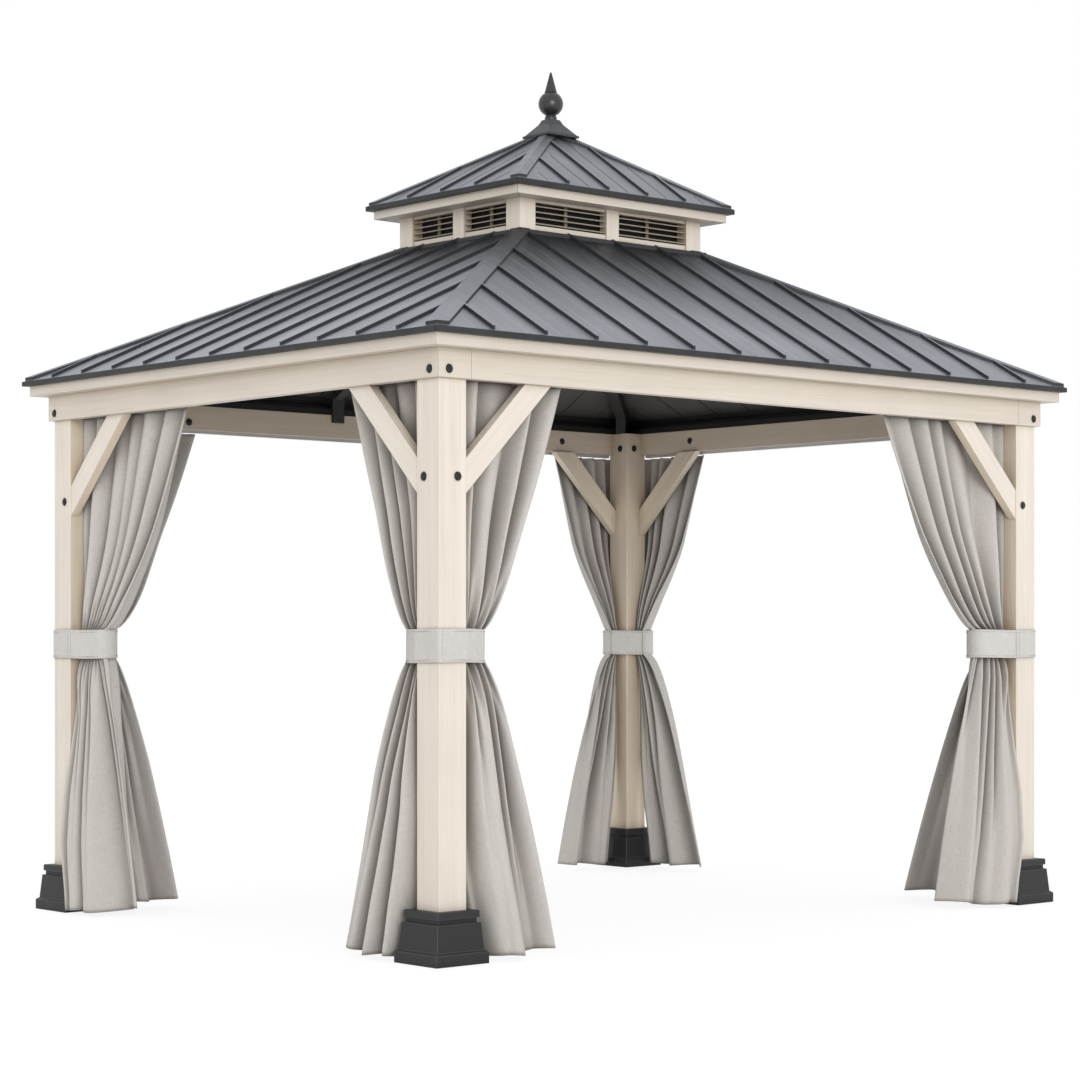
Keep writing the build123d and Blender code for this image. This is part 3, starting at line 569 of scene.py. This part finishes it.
# Plinth: a lighter tone along its edges as a painted highlight
PLINTH_EDGE_HIGHLIGHT = (0.110, 0.110, 0.111)
PLINTH_DARK = moulded_finish(
    "plinth_dark", (0.022, 0.022, 0.0225), (0.040, 0.040, 0.0405), PLINTH_EDGE_HIGHLIGHT, 0.46, 520.0, edge=0.006)
FINIAL_DARK = painted_finish(
    "finial_dark", (0.012, 0.012, 0.0125), (0.018, 0.018, 0.0185), 0.36, 50.0, edge=0.003, shine=0.65)
FINIAL_FOOT = painted_finish(
    "finial_foot", (0.046, 0.048, 0.052), (0.066, 0.069, 0.074), 0.40, 300.0, edge=0.003)
RAIL_METAL = painted_finish(
    "rail_metal", (0.50, 0.50, 0.49), (0.62, 0.61, 0.60), 0.38, 500.0, metal=0.6, edge=0.001)
# Bolt collars: a real shape, with a pale tone that paints the bright rim of a highlight
BOLT_RING_HIGHLIGHT = painted_finish(
    "bolt_ring", (0.66, 0.62, 0.55), (0.76, 0.72, 0.65), 0.45, 700.0, edge=0.0005)
BOLT_DARK = painted_finish(
    "bolt_dark", (0.020, 0.019, 0.018), (0.034, 0.032, 0.030), 0.40, 700.0, metal=0.2, edge=0.0005)
STITCH_THREAD = painted_finish(
    "stitch_thread", (0.33, 0.31, 0.29), (0.42, 0.40, 0.37), 0.80, 900.0, edge=0.0002)
# Cloth: dark and light thread, and the painted shade deep in the folds
CURTAIN_CLOTH = cloth_finish(
    "curtain_cloth", (0.550, 0.519, 0.483), (0.642, 0.610, 0.572), (0.225, 0.205, 0.185))
TIE_CLOTH = cloth_finish(
    "tie_cloth", (0.600, 0.575, 0.545), (0.685, 0.660, 0.628), (0.420, 0.395, 0.368))


def node_finish(name):
    """The material of a carried-over solid."""
    if name.startswith("post_") or name == "cupola_posts":
        return CREAM_UPRIGHT
    if name.endswith("_braces"):
        return CREAM_BRACE
    if name.endswith("_eave_board"):
        return CREAM_EAVE
    if name.endswith("_beam") or name in ("beam_corner_blocks", "cupola_rails", "cupola_eave_boards"):
        return CREAM_LEVEL
    if name == "cupola_louvres":
        return LOUVRE_CREAM
    if name.endswith("_upper_roof"):
        return UPPER_LONG if name.startswith(("front", "back")) else UPPER_SHORT
    if name.endswith("_roof"):
        return ROOF_LONG if name.startswith(("front", "back")) else ROOF_SHORT
    if name.endswith("_hip_caps"):
        return UPPER_LONG if name.startswith("upper") else ROOF_LONG
    if name.endswith("_edge_trim"):
        return EDGE_TRIM
    if name.startswith("plinth_"):
        return PLINTH_DARK
    if name == "finial_base":
        return FINIAL_FOOT
    if name == "finial":
        return FINIAL_DARK
    if name.endswith("_rafters"):
        return RAFTER_DARK
    if name == "curtain_rails":
        return RAIL_METAL
    return DARK_FRAME


def dress_solids():
    """Gives each carried-over solid its material, on the object and not on the mesh."""
    for name, piece in NODES.items():
        material = node_finish(name)
        if not piece.data.materials:
            piece.data.materials.append(material)
        for slot in piece.material_slots:
            slot.link = "OBJECT"
            slot.material = material


def add_piece(name, vertices, faces, material, smooth=True):
    mesh = bpy.data.meshes.new(name)
    mesh.from_pydata([tuple(v) for v in vertices], [], faces)
    mesh.materials.append(material)
    mesh.polygons.foreach_set("use_smooth", [smooth] * len(mesh.polygons))
    mesh.update()
    piece = bpy.data.objects.new(name, mesh)
    bpy.context.collection.objects.link(piece)
    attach(piece, "root")
    return piece


class Shell:
    """Vertices and faces gathered from several small forms into one piece."""

    def __init__(self):
        self.vertices = []
        self.faces = []

    def grow(self, vertices, faces):
        base = len(self.vertices)
        self.vertices.extend(vertices)
        self.faces.extend([base + i for i in face] for face in faces)

    def lathe(self, centre, axis, profile, sides=24):
        """Turns (radius, height) pairs about an axis through the centre."""
        axis = Vector(axis).normalized()
        across = axis.orthogonal().normalized()
        beside = axis.cross(across)
        vertices = []
        for radius, height in profile:
            for i in range(sides):
                angle = 2 * pi * i / sides
                spoke = across * cos(angle) + beside * sin(angle)
                vertices.append(Vector(centre) + axis * height + spoke * radius)
        faces = []
        for row in range(len(profile) - 1):
            for i in range(sides):
                j = (i + 1) % sides
                low, high = row * sides, (row + 1) * sides
                faces.append((low + i, low + j, high + j, high + i))
        faces.append(tuple(reversed(range(sides))))
        faces.append(tuple(range(len(vertices) - sides, len(vertices))))
        self.grow(vertices, faces)

    def ring(self, centre, axis, radius, wire, turns=14, sides=6):
        """A wire ring round an axis."""
        axis = Vector(axis).normalized()
        across = axis.orthogonal().normalized()
        beside = axis.cross(across)
        vertices = []
        for i in range(turns):
            angle = 2 * pi * i / turns
            spoke = across * cos(angle) + beside * sin(angle)
            for j in range(sides):
                turn = 2 * pi * j / sides
                reach = radius + wire * cos(turn)
                vertices.append(Vector(centre) + spoke * reach + axis * wire * sin(turn))
        faces = []
        for i in range(turns):
            for j in range(sides):
                a, b = i * sides, (i + 1) % turns * sides
                k = (j + 1) % sides
                faces.append((a + j, b + j, b + k, a + k))
        self.grow(vertices, faces)

    def bar(self, start, end, side, lift):
        """A thin ridge from start to end, with a flat crown narrower than its foot."""
        start, end, side, lift = (Vector(v) for v in (start, end, side, lift))
        section = (-side, side, side * RIDGE_CROWN + lift, -side * RIDGE_CROWN + lift)
        vertices = [start + v for v in section] + [end + v for v in section]
        faces = [(0, 1, 5, 4), (1, 2, 6, 5), (2, 3, 7, 6), (3, 0, 4, 7), (3, 2, 1, 0), (4, 5, 6, 7)]
        self.grow(vertices, faces)


def seam_places(count, spacing):
    return [(i - (count - 1) / 2) * spacing for i in range(count)]


def panel_places(count, spacing, shares):
    """Places between the seams, as shares of a panel's width."""
    seams = seam_places(count, spacing)
    firsts = [seams[0] - spacing] + seams
    return [first + share * spacing for first in firsts for share in shares]


def slope_ribs(shell, eave, head, long_slope, places, width, height, drop, low_gap):
    """Ridges up two opposite slopes; drop moves them to the underside."""
    across, run = (0, 1) if long_slope else (1, 0)
    rise = (head[2] - eave[2]) / (eave[run] - head[run])
    closing = (eave[across] - head[across]) / (eave[run] - head[run])
    for sign in (-1, 1):
        for place in places:
            room = (eave[across] - abs(place)) / closing
            far = min(room - CAP_CLEAR / closing, eave[run] - head[run] - HEAD_CLEAR)
            if far - low_gap < SHORTEST_RIB:
                continue
            ends = []
            for distance in (low_gap, far):
                point = [0, 0, eave[2] + rise * distance - drop]
                point[across] = place
                point[run] = sign * (eave[run] - distance)
                ends.append(point)
            side = [0, 0, 0]
            side[across] = width / 2
            lift = (0, 0, -height if drop else height)
            shell.bar(ends[0], ends[1], side, lift)


def add_roof_ribs():
    """Thin pressed ribs between the seams, and the sheets' joints seen from below."""
    top = Shell()
    for long_slope, seams in ((True, LONG_SEAMS), (False, SHORT_SEAMS)):
        places = panel_places(*seams, RIB_SHARES)
        slope_ribs(top, ROOF_EAVE, ROOF_HEAD, long_slope, places, RIB_WIDTH, RIB_HEIGHT, 0, RIB_EAVE_GAP)
    for long_slope, seams in ((True, UPPER_LONG_SEAMS), (False, UPPER_SHORT_SEAMS)):
        places = panel_places(*seams, UPPER_RIB_SHARES)
        slope_ribs(top, UPPER_EAVE, UPPER_HEAD, long_slope, places, RIB_WIDTH, RIB_HEIGHT, 0, RIB_EAVE_GAP)
    add_piece("roof_ribs", top.vertices, top.faces, ROOF_LONG, False)
    below = Shell()
    for long_slope, seams in ((True, LONG_SEAMS), (False, SHORT_SEAMS)):
        places = seam_places(*seams)
        slope_ribs(below, ROOF_EAVE, ROOF_HEAD, long_slope, places, UNDER_RIB_WIDTH, UNDER_RIB_HEIGHT,
                   ROOF_SHEET, UNDER_RIB_GAP)
    add_piece("roof_under_ribs", below.vertices, below.faces, UNDER_RIB, False)


def four_strips(shell, span, plan, half, low, high):
    """A level strip on each of four walls; span and plan are half sizes of its length and of the walls."""
    for along in (0, 1):
        across = 1 - along
        for sign in (-1, 1):
            ends = []
            for end in (-1, 1):
                point = [0, 0, low]
                point[along] = end * span[along]
                point[across] = sign * plan[across]
                ends.append(point)
            side = [0, 0, 0]
            side[across] = half
            shell.bar(ends[0], ends[1], side, (0, 0, high - low))


# Dark sheets behind the louvres that stand in for the shade inside the cupola: half sizes of the walls'
# inside, and the corner posts' clear span
SHADE_SHEET_PLAN = (0.481, 0.350)
SHADE_SHEET_SPAN = (0.444, 0.313)
SHADE_SHEET_LOW = 2.906
SHADE_SHEET_HIGH = 3.074
SHADE_SHEET_THICKNESS = 0.002


def add_cupola_shade_sheets():
    shade_sheets = Shell()
    four_strips(shade_sheets, SHADE_SHEET_SPAN, SHADE_SHEET_PLAN, SHADE_SHEET_THICKNESS / 2, SHADE_SHEET_LOW, SHADE_SHEET_HIGH)
    add_piece("cupola_shade_sheets", shade_sheets.vertices, shade_sheets.faces, DARK_FRAME, False)


# Flashing that covers the heads of the seams round the cupola's foot
FLASHING_WIDTH = 0.022
FLASHING_LOW = 2.888
FLASHING_HIGH = 2.909


def add_flashing():
    strips = Shell()
    half = FLASHING_WIDTH / 2
    span = [size + FLASHING_WIDTH for size in ROOF_HEAD[:2]]
    plan = [size + half for size in ROOF_HEAD[:2]]
    four_strips(strips, span, plan, half, FLASHING_LOW, FLASHING_HIGH)
    add_piece("cupola_flashing", strips.vertices, strips.faces, EDGE_TRIM, False)


# Bolt heads: radius and height of the dark dome and of the ring round it, whose pale tone is a painted
# highlight rim
BOLT_DOME = ((0.0170, 0.0), (0.0170, 0.0014), (0.0154, 0.0042),
             (0.0118, 0.0064), (0.0064, 0.0078), (0.0016, 0.0082))
BOLT_COLLAR = ((0.0214, 0.0), (0.0211, 0.0016), (0.0198, 0.0025), (0.0177, 0.0022), (0.0171, 0.0004))
# Their places: beams' ends, inside of the posts' heads, braces' feet and heads, and one on the back beam
BEAM_BOLT_INSET = 0.050
BEAM_BOLT_RISE = 0.032
INNER_BOLT_INSET = 0.050
BRACE_BOLT_DROP = 0.357
BRACE_BOLT_SHIFT = 0.022
BRACE_HEAD_REACH = 0.425
BRACE_HEAD_RISE = 0.055
SINGLE_BOLT = (-1.045, HALF_Y + BEAM_INNER, 2.172)


def bolt_places():
    """Point and outward direction of each bolt head."""
    for x, y in POSTS.values():
        sign_x = 1 if x > 0 else -1
        sign_y = 1 if y > 0 else -1
        beam_z = BEAM_UNDER + BEAM_BOLT_RISE
        brace_z = BEAM_UNDER - BRACE_BOLT_DROP
        head_z = BEAM_UNDER + BRACE_HEAD_RISE
        corner = BEAM_OUTER - BEAM_BOLT_INSET
        inner = POST_HALF - INNER_BOLT_INSET
        yield (x + sign_x * corner, y + sign_y * BEAM_OUTER, beam_z), (0, sign_y, 0)
        yield (x + sign_x * BEAM_OUTER, y + sign_y * corner, beam_z), (sign_x, 0, 0)
        yield (x - sign_x * BRACE_BOLT_SHIFT, y + sign_y * POST_HALF, brace_z), (0, sign_y, 0)
        yield (x + sign_x * POST_HALF, y - sign_y * BRACE_BOLT_SHIFT, brace_z), (sign_x, 0, 0)
        yield (x - sign_x * BRACE_HEAD_REACH, y + sign_y * BEAM_INNER, head_z), (0, -sign_y, 0)
        yield (x + sign_x * BEAM_INNER, y - sign_y * BRACE_HEAD_REACH, head_z), (-sign_x, 0, 0)
        yield (x - sign_x * inner, y - sign_y * POST_HALF, beam_z), (0, -sign_y, 0)
        yield (x - sign_x * POST_HALF, y - sign_y * inner, beam_z), (-sign_x, 0, 0)
    yield SINGLE_BOLT, (0, -1, 0)


def add_bolts():
    domes = Shell()
    rings = Shell()
    for point, axis in bolt_places():
        domes.lathe(point, axis, BOLT_DOME)
        rings.lathe(point, axis, BOLT_COLLAR)
    add_piece("bolt_domes", domes.vertices, domes.faces, BOLT_DARK)
    add_piece("bolt_rings", rings.vertices, rings.faces, BOLT_RING_HIGHLIGHT)


def smooth_step(value):
    """Soft rise from 0 to 1."""
    value = np.clip(value, 0, 1)
    return value * value * (3 - 2 * value)


def below_tie(levels):
    """Share of the way down from the tie to the hem."""
    return np.clip((TIE_BOTTOM - levels) / (TIE_BOTTOM - CURTAIN_HEM), 0, 1)


def hem_line(plan, share):
    """How far each point of the hem stands out from the post line."""
    if plan.path is OVER_POST:
        inward = np.clip((share - OVER_TURN) / (1 - OVER_TURN), 0, 1) ** OVER_BEND
        return plan.edge + (plan.far - plan.edge) * inward
    turned = plan.near + (plan.edge - plan.near) * np.exp(-share / NEAR_TURN)
    return turned + (plan.far - plan.near) * share


def curtain_lines(plan, levels, share):
    """Place along the wall and middle line of each point, and the deepest fold at each height."""
    z = levels[:, None]
    above = np.clip((z - TIE_TOP) / (levels[0] - TIE_TOP), 0, 1) ** plan.bend
    below = below_tie(z) ** LINE_BEND
    lift = smooth_step((z - TIE_TOP) / (BRACE_CLEAR - TIE_TOP))
    start = np.interp(z, *zip(*plan.path)) + (plan.start - CURTAIN_START) * lift
    flare = below_tie(z) ** (REAR_REACH_BEND if plan.post == "back_right" else REACH_BEND)
    reach = plan.tie + (plan.head - plan.tie) * above + (plan.hem - plan.tie) * flare
    tie_line, head_line = OUTSIDE_TIE_LINE, OUTSIDE_LINE
    if plan.wall.inside:
        tie_line = INSIDE_TIE_LINE
        head_line = INSIDE_LINE + (NEAR_LINE - INSIDE_LINE) * np.exp(-share / NEAR_SPAN)[None, :]
    rest = tie_line + (head_line - tie_line) * lift
    line = rest + (hem_line(plan, share)[None, :] - rest) * below
    along = start + (reach - start) * share[None, :]
    depth = FOLD_DEPTH_TIE + (FOLD_DEPTH_HEAD - FOLD_DEPTH_TIE) * lift
    depth = depth + (FOLD_DEPTH_HEM - FOLD_DEPTH_TIE) * below
    return along, line, depth


def arch(phase, soft):
    """Round crests with narrower valleys, from -1 to 1; a larger soft makes the valleys softer."""
    crest = np.sqrt(np.sin(phase / 2) ** 2 + soft) / np.sqrt(1 + soft)
    return CREST_SHARE * (2 * crest ** CREST_POWER - 1) - (1 - CREST_SHARE) * np.cos(phase)


def curtain_folds(plan, levels, share):
    """Fold pattern across the width at each height, from -1 to 1; crests stand toward the side seen."""
    random = np.random.default_rng(plan.seed)
    turn = random.uniform(0, 2 * pi, 9)
    z = levels[:, None]
    s = share[None, :]
    free = 1 - s ** 3
    below = below_tie(z) ** LINE_BEND

    def wave(row, start):
        size, up, across = row
        return size * np.sin(up * z + across * s + start)

    warped = s + free * (wave(FOLD_WIDTHS[0], turn[0]) + wave(FOLD_WIDTHS[1], turn[1]))
    wander = wave(FOLD_WANDERS[0], turn[2]) + wave(FOLD_WANDERS[1], turn[3])
    strength = 1 + wave(FOLD_DEPTHS[0], turn[4]) + wave(FOLD_DEPTHS[1], turn[5])
    phase = 2 * pi * plan.folds * (warped - 1) + FOLD_END[plan.way] + wander * free
    pinch = PINCH * np.exp(-((z - (TIE_TOP + TIE_BOTTOM) / 2) / PINCH_REACH) ** 2)
    fine = arch(phase, FOLD_SOFT) * strength + pinch * np.sin(2 * phase + turn[8])
    lobe_place = s - 1 + free * wave(LOBE_WIDTH, turn[7])
    lobe_phase = 2 * pi * plan.lobes * lobe_place + plan.last + free * wave(LOBE_WANDER, turn[6])
    lobes = arch(lobe_phase, LOBE_SOFT) * (1 + wave(LOBE_DEPTH, turn[5]))
    pattern = fine * ((1 - below) ** FOLD_FADE + FOLD_REST) + lobes * LOBE_SIZE * below ** LOBE_GROWTH
    pattern = pattern / np.abs(pattern).max(axis=1, keepdims=True)
    hung = pattern * (EDGE_FOLD + (1 - EDGE_FOLD) * smooth_step(s / EDGE_SPAN))
    if plan.path is not OVER_POST:
        return hung
    calm = smooth_step((s - OVER_CALM_START) / OVER_CALM)
    inward = (pattern * (1 + calm) - (1 - calm)) / 2 * smooth_step(s / OVER_EDGE_SPAN)
    return hung + (inward - hung) * smooth_step((TIE_BOTTOM - z) / OVER_DROP)


def row_length(along, offset):
    """Length of the cloth at each height."""
    return np.hypot(np.diff(along, axis=1), np.diff(offset, axis=1)).sum(axis=1)


def curtain_grid(plan):
    """Points of the hanging cloth: the folds are as deep as the cloth's width needs at each height."""
    top = INSIDE_HEAD if plan.wall.inside else OUTSIDE_HEAD
    levels = np.linspace(top, CURTAIN_HEM, CLOTH_ROWS)
    share = np.linspace(0, 1, CLOTH_COLUMNS)
    along, line, depth = curtain_lines(plan, levels, share)
    pattern = curtain_folds(plan, levels, share)
    width = FLAT_FIXED + FLAT_SHARE * (plan.head - CURTAIN_START)
    low = np.zeros(CLOTH_ROWS)
    high = depth[:, 0]
    for _ in range(DEPTH_STEPS):
        middle = (low + high) / 2
        short = row_length(along, line + pattern * middle[:, None]) < width
        low = np.where(short, middle, low)
        high = np.where(short, high, middle)
    window = 2 * DEPTH_SMOOTH + 1
    swell = np.convolve(np.pad(low, DEPTH_SMOOTH, mode="edge"), np.ones(window) / window, mode="valid")
    face = 1 if plan.wall.inside else -1
    offset = line + face * pattern * np.minimum(swell, depth[:, 0])[:, None]
    rise = FREE_HEM_RISE * smooth_step((share - 0.5) / 0.5)
    rise = rise + HEM_WAVE * (1 + np.sin(2 * pi * HEM_WAVES * share + plan.seed))
    lift = below_tie(levels)[:, None] ** 2 * rise[None, :]
    post = POSTS[plan.post]
    points = np.empty((CLOTH_ROWS, CLOTH_COLUMNS, 3))
    for axis in (0, 1):
        run = plan.way * plan.wall.along[axis] * along
        points[:, :, axis] = post[axis] + run + plan.wall.out[axis] * offset
    points[:, :, 2] = levels[:, None] + lift
    return points, share * width, levels, width


def thick_grid(points, thickness, closed=False):
    """A sheet of points as a closed shell of the given thickness."""
    down = np.gradient(points, axis=0)
    across = np.gradient(points, axis=1)
    if closed:
        across = (np.roll(points, -1, axis=1) - np.roll(points, 1, axis=1)) / 2
    normal = np.cross(across, down)
    normal /= np.linalg.norm(normal, axis=2, keepdims=True)
    half = normal * thickness[:, :, None] / 2
    rows, columns = points.shape[:2]
    vertices = np.concatenate(((points + half).reshape(-1, 3), (points - half).reshape(-1, 3)))
    back = rows * columns
    faces = []
    spans = columns if closed else columns - 1
    for r in range(rows - 1):
        for c in range(spans):
            d = (c + 1) % columns
            a, b = r * columns + c, r * columns + d
            e, f = a + columns, b + columns
            faces.append((a, e, f, b))
            faces.append((back + a, back + b, back + f, back + e))
    for c in range(spans):
        d = (c + 1) % columns
        faces.append((c, d, back + d, back + c))
        e, f = (rows - 1) * columns + c, (rows - 1) * columns + d
        faces.append((e, back + e, back + f, f))
    if not closed:
        for r in range(rows - 1):
            a, b = r * columns, (r + 1) * columns
            faces.append((a, back + a, back + b, b))
            a, b = a + columns - 1, b + columns - 1
            faces.append((a, b, back + b, back + a))
    return vertices, faces


def map_cloth(piece, across, along):
    """Gives the cloth's own width and height to its material."""
    layer = piece.data.uv_layers.new(name="cloth")
    flat = np.stack(np.meshgrid(across, along), axis=2).reshape(-1, 2)
    flat = np.concatenate((flat, flat))
    corners = np.empty(len(piece.data.loops), dtype=np.int32)
    piece.data.loops.foreach_get("vertex_index", corners)
    layer.data.foreach_set("uv", flat[corners].ravel())


def add_curtains():
    hooks = Shell()
    for name, plan in CURTAINS.items():
        points, across, along, width = curtain_grid(plan)
        edge = np.minimum(across, width - across)[None, :]
        foot = (along - CURTAIN_HEM)[:, None]
        head = (along[0] - along)[:, None]
        hem = smooth_step((HEM_HEIGHT - foot) / HEM_RAMP)
        hem = np.maximum(hem, smooth_step((SIDE_HEM - edge) / HEM_RAMP))
        hem = np.maximum(hem, smooth_step((HEADING_HEIGHT - head) / HEM_RAMP))
        vertices, faces = thick_grid(points, CLOTH_THICKNESS + HEM_EXTRA * hem)
        piece = add_piece(name + "_cloth", vertices, faces, CURTAIN_CLOTH)
        map_cloth(piece, across, along)
        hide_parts(name)
        axis = (*plan.wall.along, 0)
        for fold in range(plan.folds):
            column = round((fold + 0.5) / plan.folds * (CLOTH_COLUMNS - 1))
            centre = Vector(points[0, column]) + Vector((0, 0, HOOK_LIFT))
            hooks.ring(centre, axis, HOOK_RADIUS, HOOK_WIRE)
    add_piece("curtain_hooks", hooks.vertices, hooks.faces, RAIL_METAL)


def hull(points):
    """Convex outline of flat points, anticlockwise."""
    points = sorted(set(points))
    chains = []
    for order in (points, points[::-1]):
        chain = []
        for p in order:
            while len(chain) > 1:
                (ax, ay), (bx, by) = chain[-2], chain[-1]
                if (bx - ax) * (p[1] - ay) - (by - ay) * (p[0] - ax) > 0:
                    break
                chain.pop()
            chain.append(p)
        chains.append(chain[:-1])
    return np.array(chains[0] + chains[1])


def band_outline(post):
    """Even points along the inside of a tie-back, round the post and its two bundles."""
    x, y = POSTS[post]
    points = [(x + a * POST_HALF, y + b * POST_HALF) for a in (-1, 1) for b in (-1, 1)]
    for plan in CURTAINS.values():
        if plan.post != post:
            continue
        line = INSIDE_TIE_LINE if plan.wall.inside else OUTSIDE_TIE_LINE
        for i in range(BUNDLE_STEPS + 1):
            angle = -pi / 2 + pi * i / BUNDLE_STEPS
            run = plan.tie - BUNDLE_END + BUNDLE_END * cos(angle)
            out = line + BUNDLE_HALF * sin(angle)
            points.append(tuple(
                (x, y)[axis] + plan.way * plan.wall.along[axis] * run + plan.wall.out[axis] * out
                for axis in (0, 1)
            ))
    outline = hull(points)
    ring = np.vstack((outline, outline[:1]))
    steps = np.hypot(*np.diff(ring, axis=0).T)
    reach = np.concatenate(([0], np.cumsum(steps)))
    even = np.linspace(0, reach[-1], BAND_POINTS, endpoint=False)
    loop = np.stack([np.interp(even, reach, ring[:, axis]) for axis in (0, 1)], axis=1)
    loop = (np.roll(loop, 1, axis=0) + 3 * loop + np.roll(loop, -1, axis=0)) / 5
    ahead = np.roll(loop, -1, axis=0) - np.roll(loop, 1, axis=0)
    ahead /= np.linalg.norm(ahead, axis=1, keepdims=True)
    outward = np.stack((ahead[:, 1], -ahead[:, 0]), axis=1)
    return loop + outward * (BAND_CLEAR + BAND_THICKNESS / 2), ahead, outward, reach[-1]


def band_points(loop, outward, distance, heights, number):
    """Points of a band down its height and round its loop, and the thickness at each height."""
    edge = np.minimum(TIE_TOP - heights, heights - TIE_BOTTOM)
    size, turn = EDGE_PUCKER
    fade = smooth_step((EDGE_PUCKER_REACH - edge) / EDGE_PUCKER_REACH)
    pucker = size * np.sin(distance * turn + number)[None, :] * fade[:, None]
    size, turn = BAND_WAVE
    pucker = pucker + size * np.sin(distance * turn + 2 * number)[None, :]
    size, turn = BAND_SAG
    points = np.empty((BAND_ROWS, BAND_POINTS, 3))
    for axis in (0, 1):
        points[:, :, axis] = loop[None, :, axis] + outward[None, :, axis] * pucker
    points[:, :, 2] = heights[:, None] + size * np.sin(distance * turn + number)[None, :]
    hem = smooth_step((BAND_HEM - edge) / BAND_HEM_RAMP)
    return points, BAND_THICKNESS + BAND_HEM_EXTRA * hem


def band_stitches(loop, ahead, outward, distance, lap, number):
    """Stitches along both hems of a band and on both sides of its lap."""
    stitches = Shell()
    size, turn = BAND_SAG
    for height in (TIE_TOP - STITCH_INSET, TIE_BOTTOM + STITCH_INSET):
        for i in range(0, BAND_POINTS, 2):
            j = (i + 1) % BAND_POINTS
            out = Vector((*outward[i], 0))
            rise = size * sin(distance[i] * turn + number)
            stand = out * (BAND_THICKNESS + BAND_HEM_EXTRA) / 2
            first = Vector((*loop[i], height + rise)) + stand
            second = Vector((*loop[j], height + rise)) + stand
            stitches.bar(first, second, (0, 0, STITCH_SIZE), out * STITCH_SIZE)
    for i in (lap - 1, lap + LAP_POINTS):
        out = Vector((*outward[i], 0))
        foot = Vector((*loop[i], 0)) + out * BAND_THICKNESS / 2
        side = Vector((*ahead[i], 0)) * STITCH_SIZE
        for height in np.arange(TIE_BOTTOM + BAND_HEM, TIE_TOP - BAND_HEM, SEAM_STEP):
            first = foot + Vector((0, 0, height))
            second = first + Vector((0, 0, SEAM_STEP * SEAM_STITCH))
            stitches.bar(first, second, side, out * STITCH_SIZE)
    return stitches


def add_tie_backs():
    for number, post in enumerate(POSTS):
        loop, ahead, outward, girth = band_outline(post)
        heights = np.linspace(TIE_TOP, TIE_BOTTOM, BAND_ROWS)
        distance = np.arange(BAND_POINTS) * girth / BAND_POINTS
        points, row_thickness = band_points(loop, outward, distance, heights, number)
        corner = np.array(POSTS[post]) - POST_HALF
        lap = int(np.argmin(np.hypot(*(loop - corner).T)))
        thickness = np.repeat(row_thickness[:, None], BAND_POINTS, axis=1)
        thickness[:, [(lap + i) % BAND_POINTS for i in range(LAP_POINTS)]] += LAP_EXTRA
        vertices, faces = thick_grid(points, thickness, closed=True)
        name = "tie_back_" + post
        piece = add_piece(name + "_band", vertices, faces, TIE_CLOTH)
        map_cloth(piece, distance, heights)
        stitches = band_stitches(loop, ahead, outward, distance, lap, number)
        thread = add_piece(
            name + "_stitches", stitches.vertices, stitches.faces, STITCH_THREAD, False)
        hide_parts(name)


def make_floor():
    """Pale floor: white to the eye apart from a faint shadow, and darker in what it throws back up."""
    mesh = bpy.data.meshes.new("floor")
    half = FLOOR_SIZE / 2
    corners = [(-half, -half), (half, -half), (half, half), (-half, half)]
    mesh.from_pydata([(x, y, -FLOOR_DEPTH) for x, y in corners], [], [(0, 1, 2, 3)])
    floor = bpy.data.objects.new("floor", mesh)
    bpy.context.collection.objects.link(floor)
    finish = Finish("floor")
    path = finish.add("LightPath").outputs
    seen = finish.math("MAXIMUM", path["Is Camera Ray"], path["Is Glossy Ray"])
    seen = finish.math("MAXIMUM", seen, path["Is Transmission Ray"])
    glow = finish.add("Emission", {"Color": (1, 1, 1, 1), "Strength": FLOOR_GLOW}).outputs[0]
    shade = finish.add("BsdfDiffuse", {"Color": colour((FLOOR_SHADE,) * 3)}).outputs[0]
    white = finish.add("AddShader", {0: glow, 1: shade}).outputs[0]
    plain = finish.add("BsdfDiffuse", {"Color": colour((FLOOR_BOUNCE,) * 3)}).outputs[0]
    both = finish.add("MixShader", {0: seen, 1: plain, 2: white}).outputs[0]
    finish.feed(finish.tree.nodes["Material Output"], "Surface", both)
    mesh.materials.append(finish.material)


def make_light():
    """One soft sun, and a sky that is white to the eye and in reflections."""
    data = bpy.data.lights.new("sun", "SUN")
    data.energy = SUN_STRENGTH
    data.angle = radians(SUN_SPREAD)
    sun = bpy.data.objects.new("sun", data)
    sun.rotation_euler = Vector(SUN_FROM).to_track_quat("Z", "Y").to_euler()
    bpy.context.collection.objects.link(sun)
    world = bpy.data.worlds.new("world")
    bpy.context.scene.world = world
    world.use_nodes = True
    tree = world.node_tree
    path = tree.nodes.new("ShaderNodeLightPath").outputs
    seen = path["Is Camera Ray"]
    for name in ("Is Glossy Ray", "Is Transmission Ray"):
        either = tree.nodes.new("ShaderNodeMath")
        either.operation = "MAXIMUM"
        tree.links.new(seen, either.inputs[0])
        tree.links.new(path[name], either.inputs[1])
        seen = either.outputs[0]
    level = tree.nodes.new("ShaderNodeMapRange")
    tree.links.new(seen, level.inputs["Value"])
    level.inputs["To Min"].default_value = SKY_STRENGTH
    level.inputs["To Max"].default_value = 1.0
    background = tree.nodes["Background"]
    background.inputs["Color"].default_value = (1, 1, 1, 1)
    tree.links.new(level.outputs[0], background.inputs["Strength"])
    bpy.context.scene.view_settings.view_transform = "Standard"


make_camera()
make_light()
make_floor()
dress_solids()
add_roof_ribs()
add_cupola_shade_sheets()
add_flashing()
add_bolts()
add_curtains()
add_tie_backs()
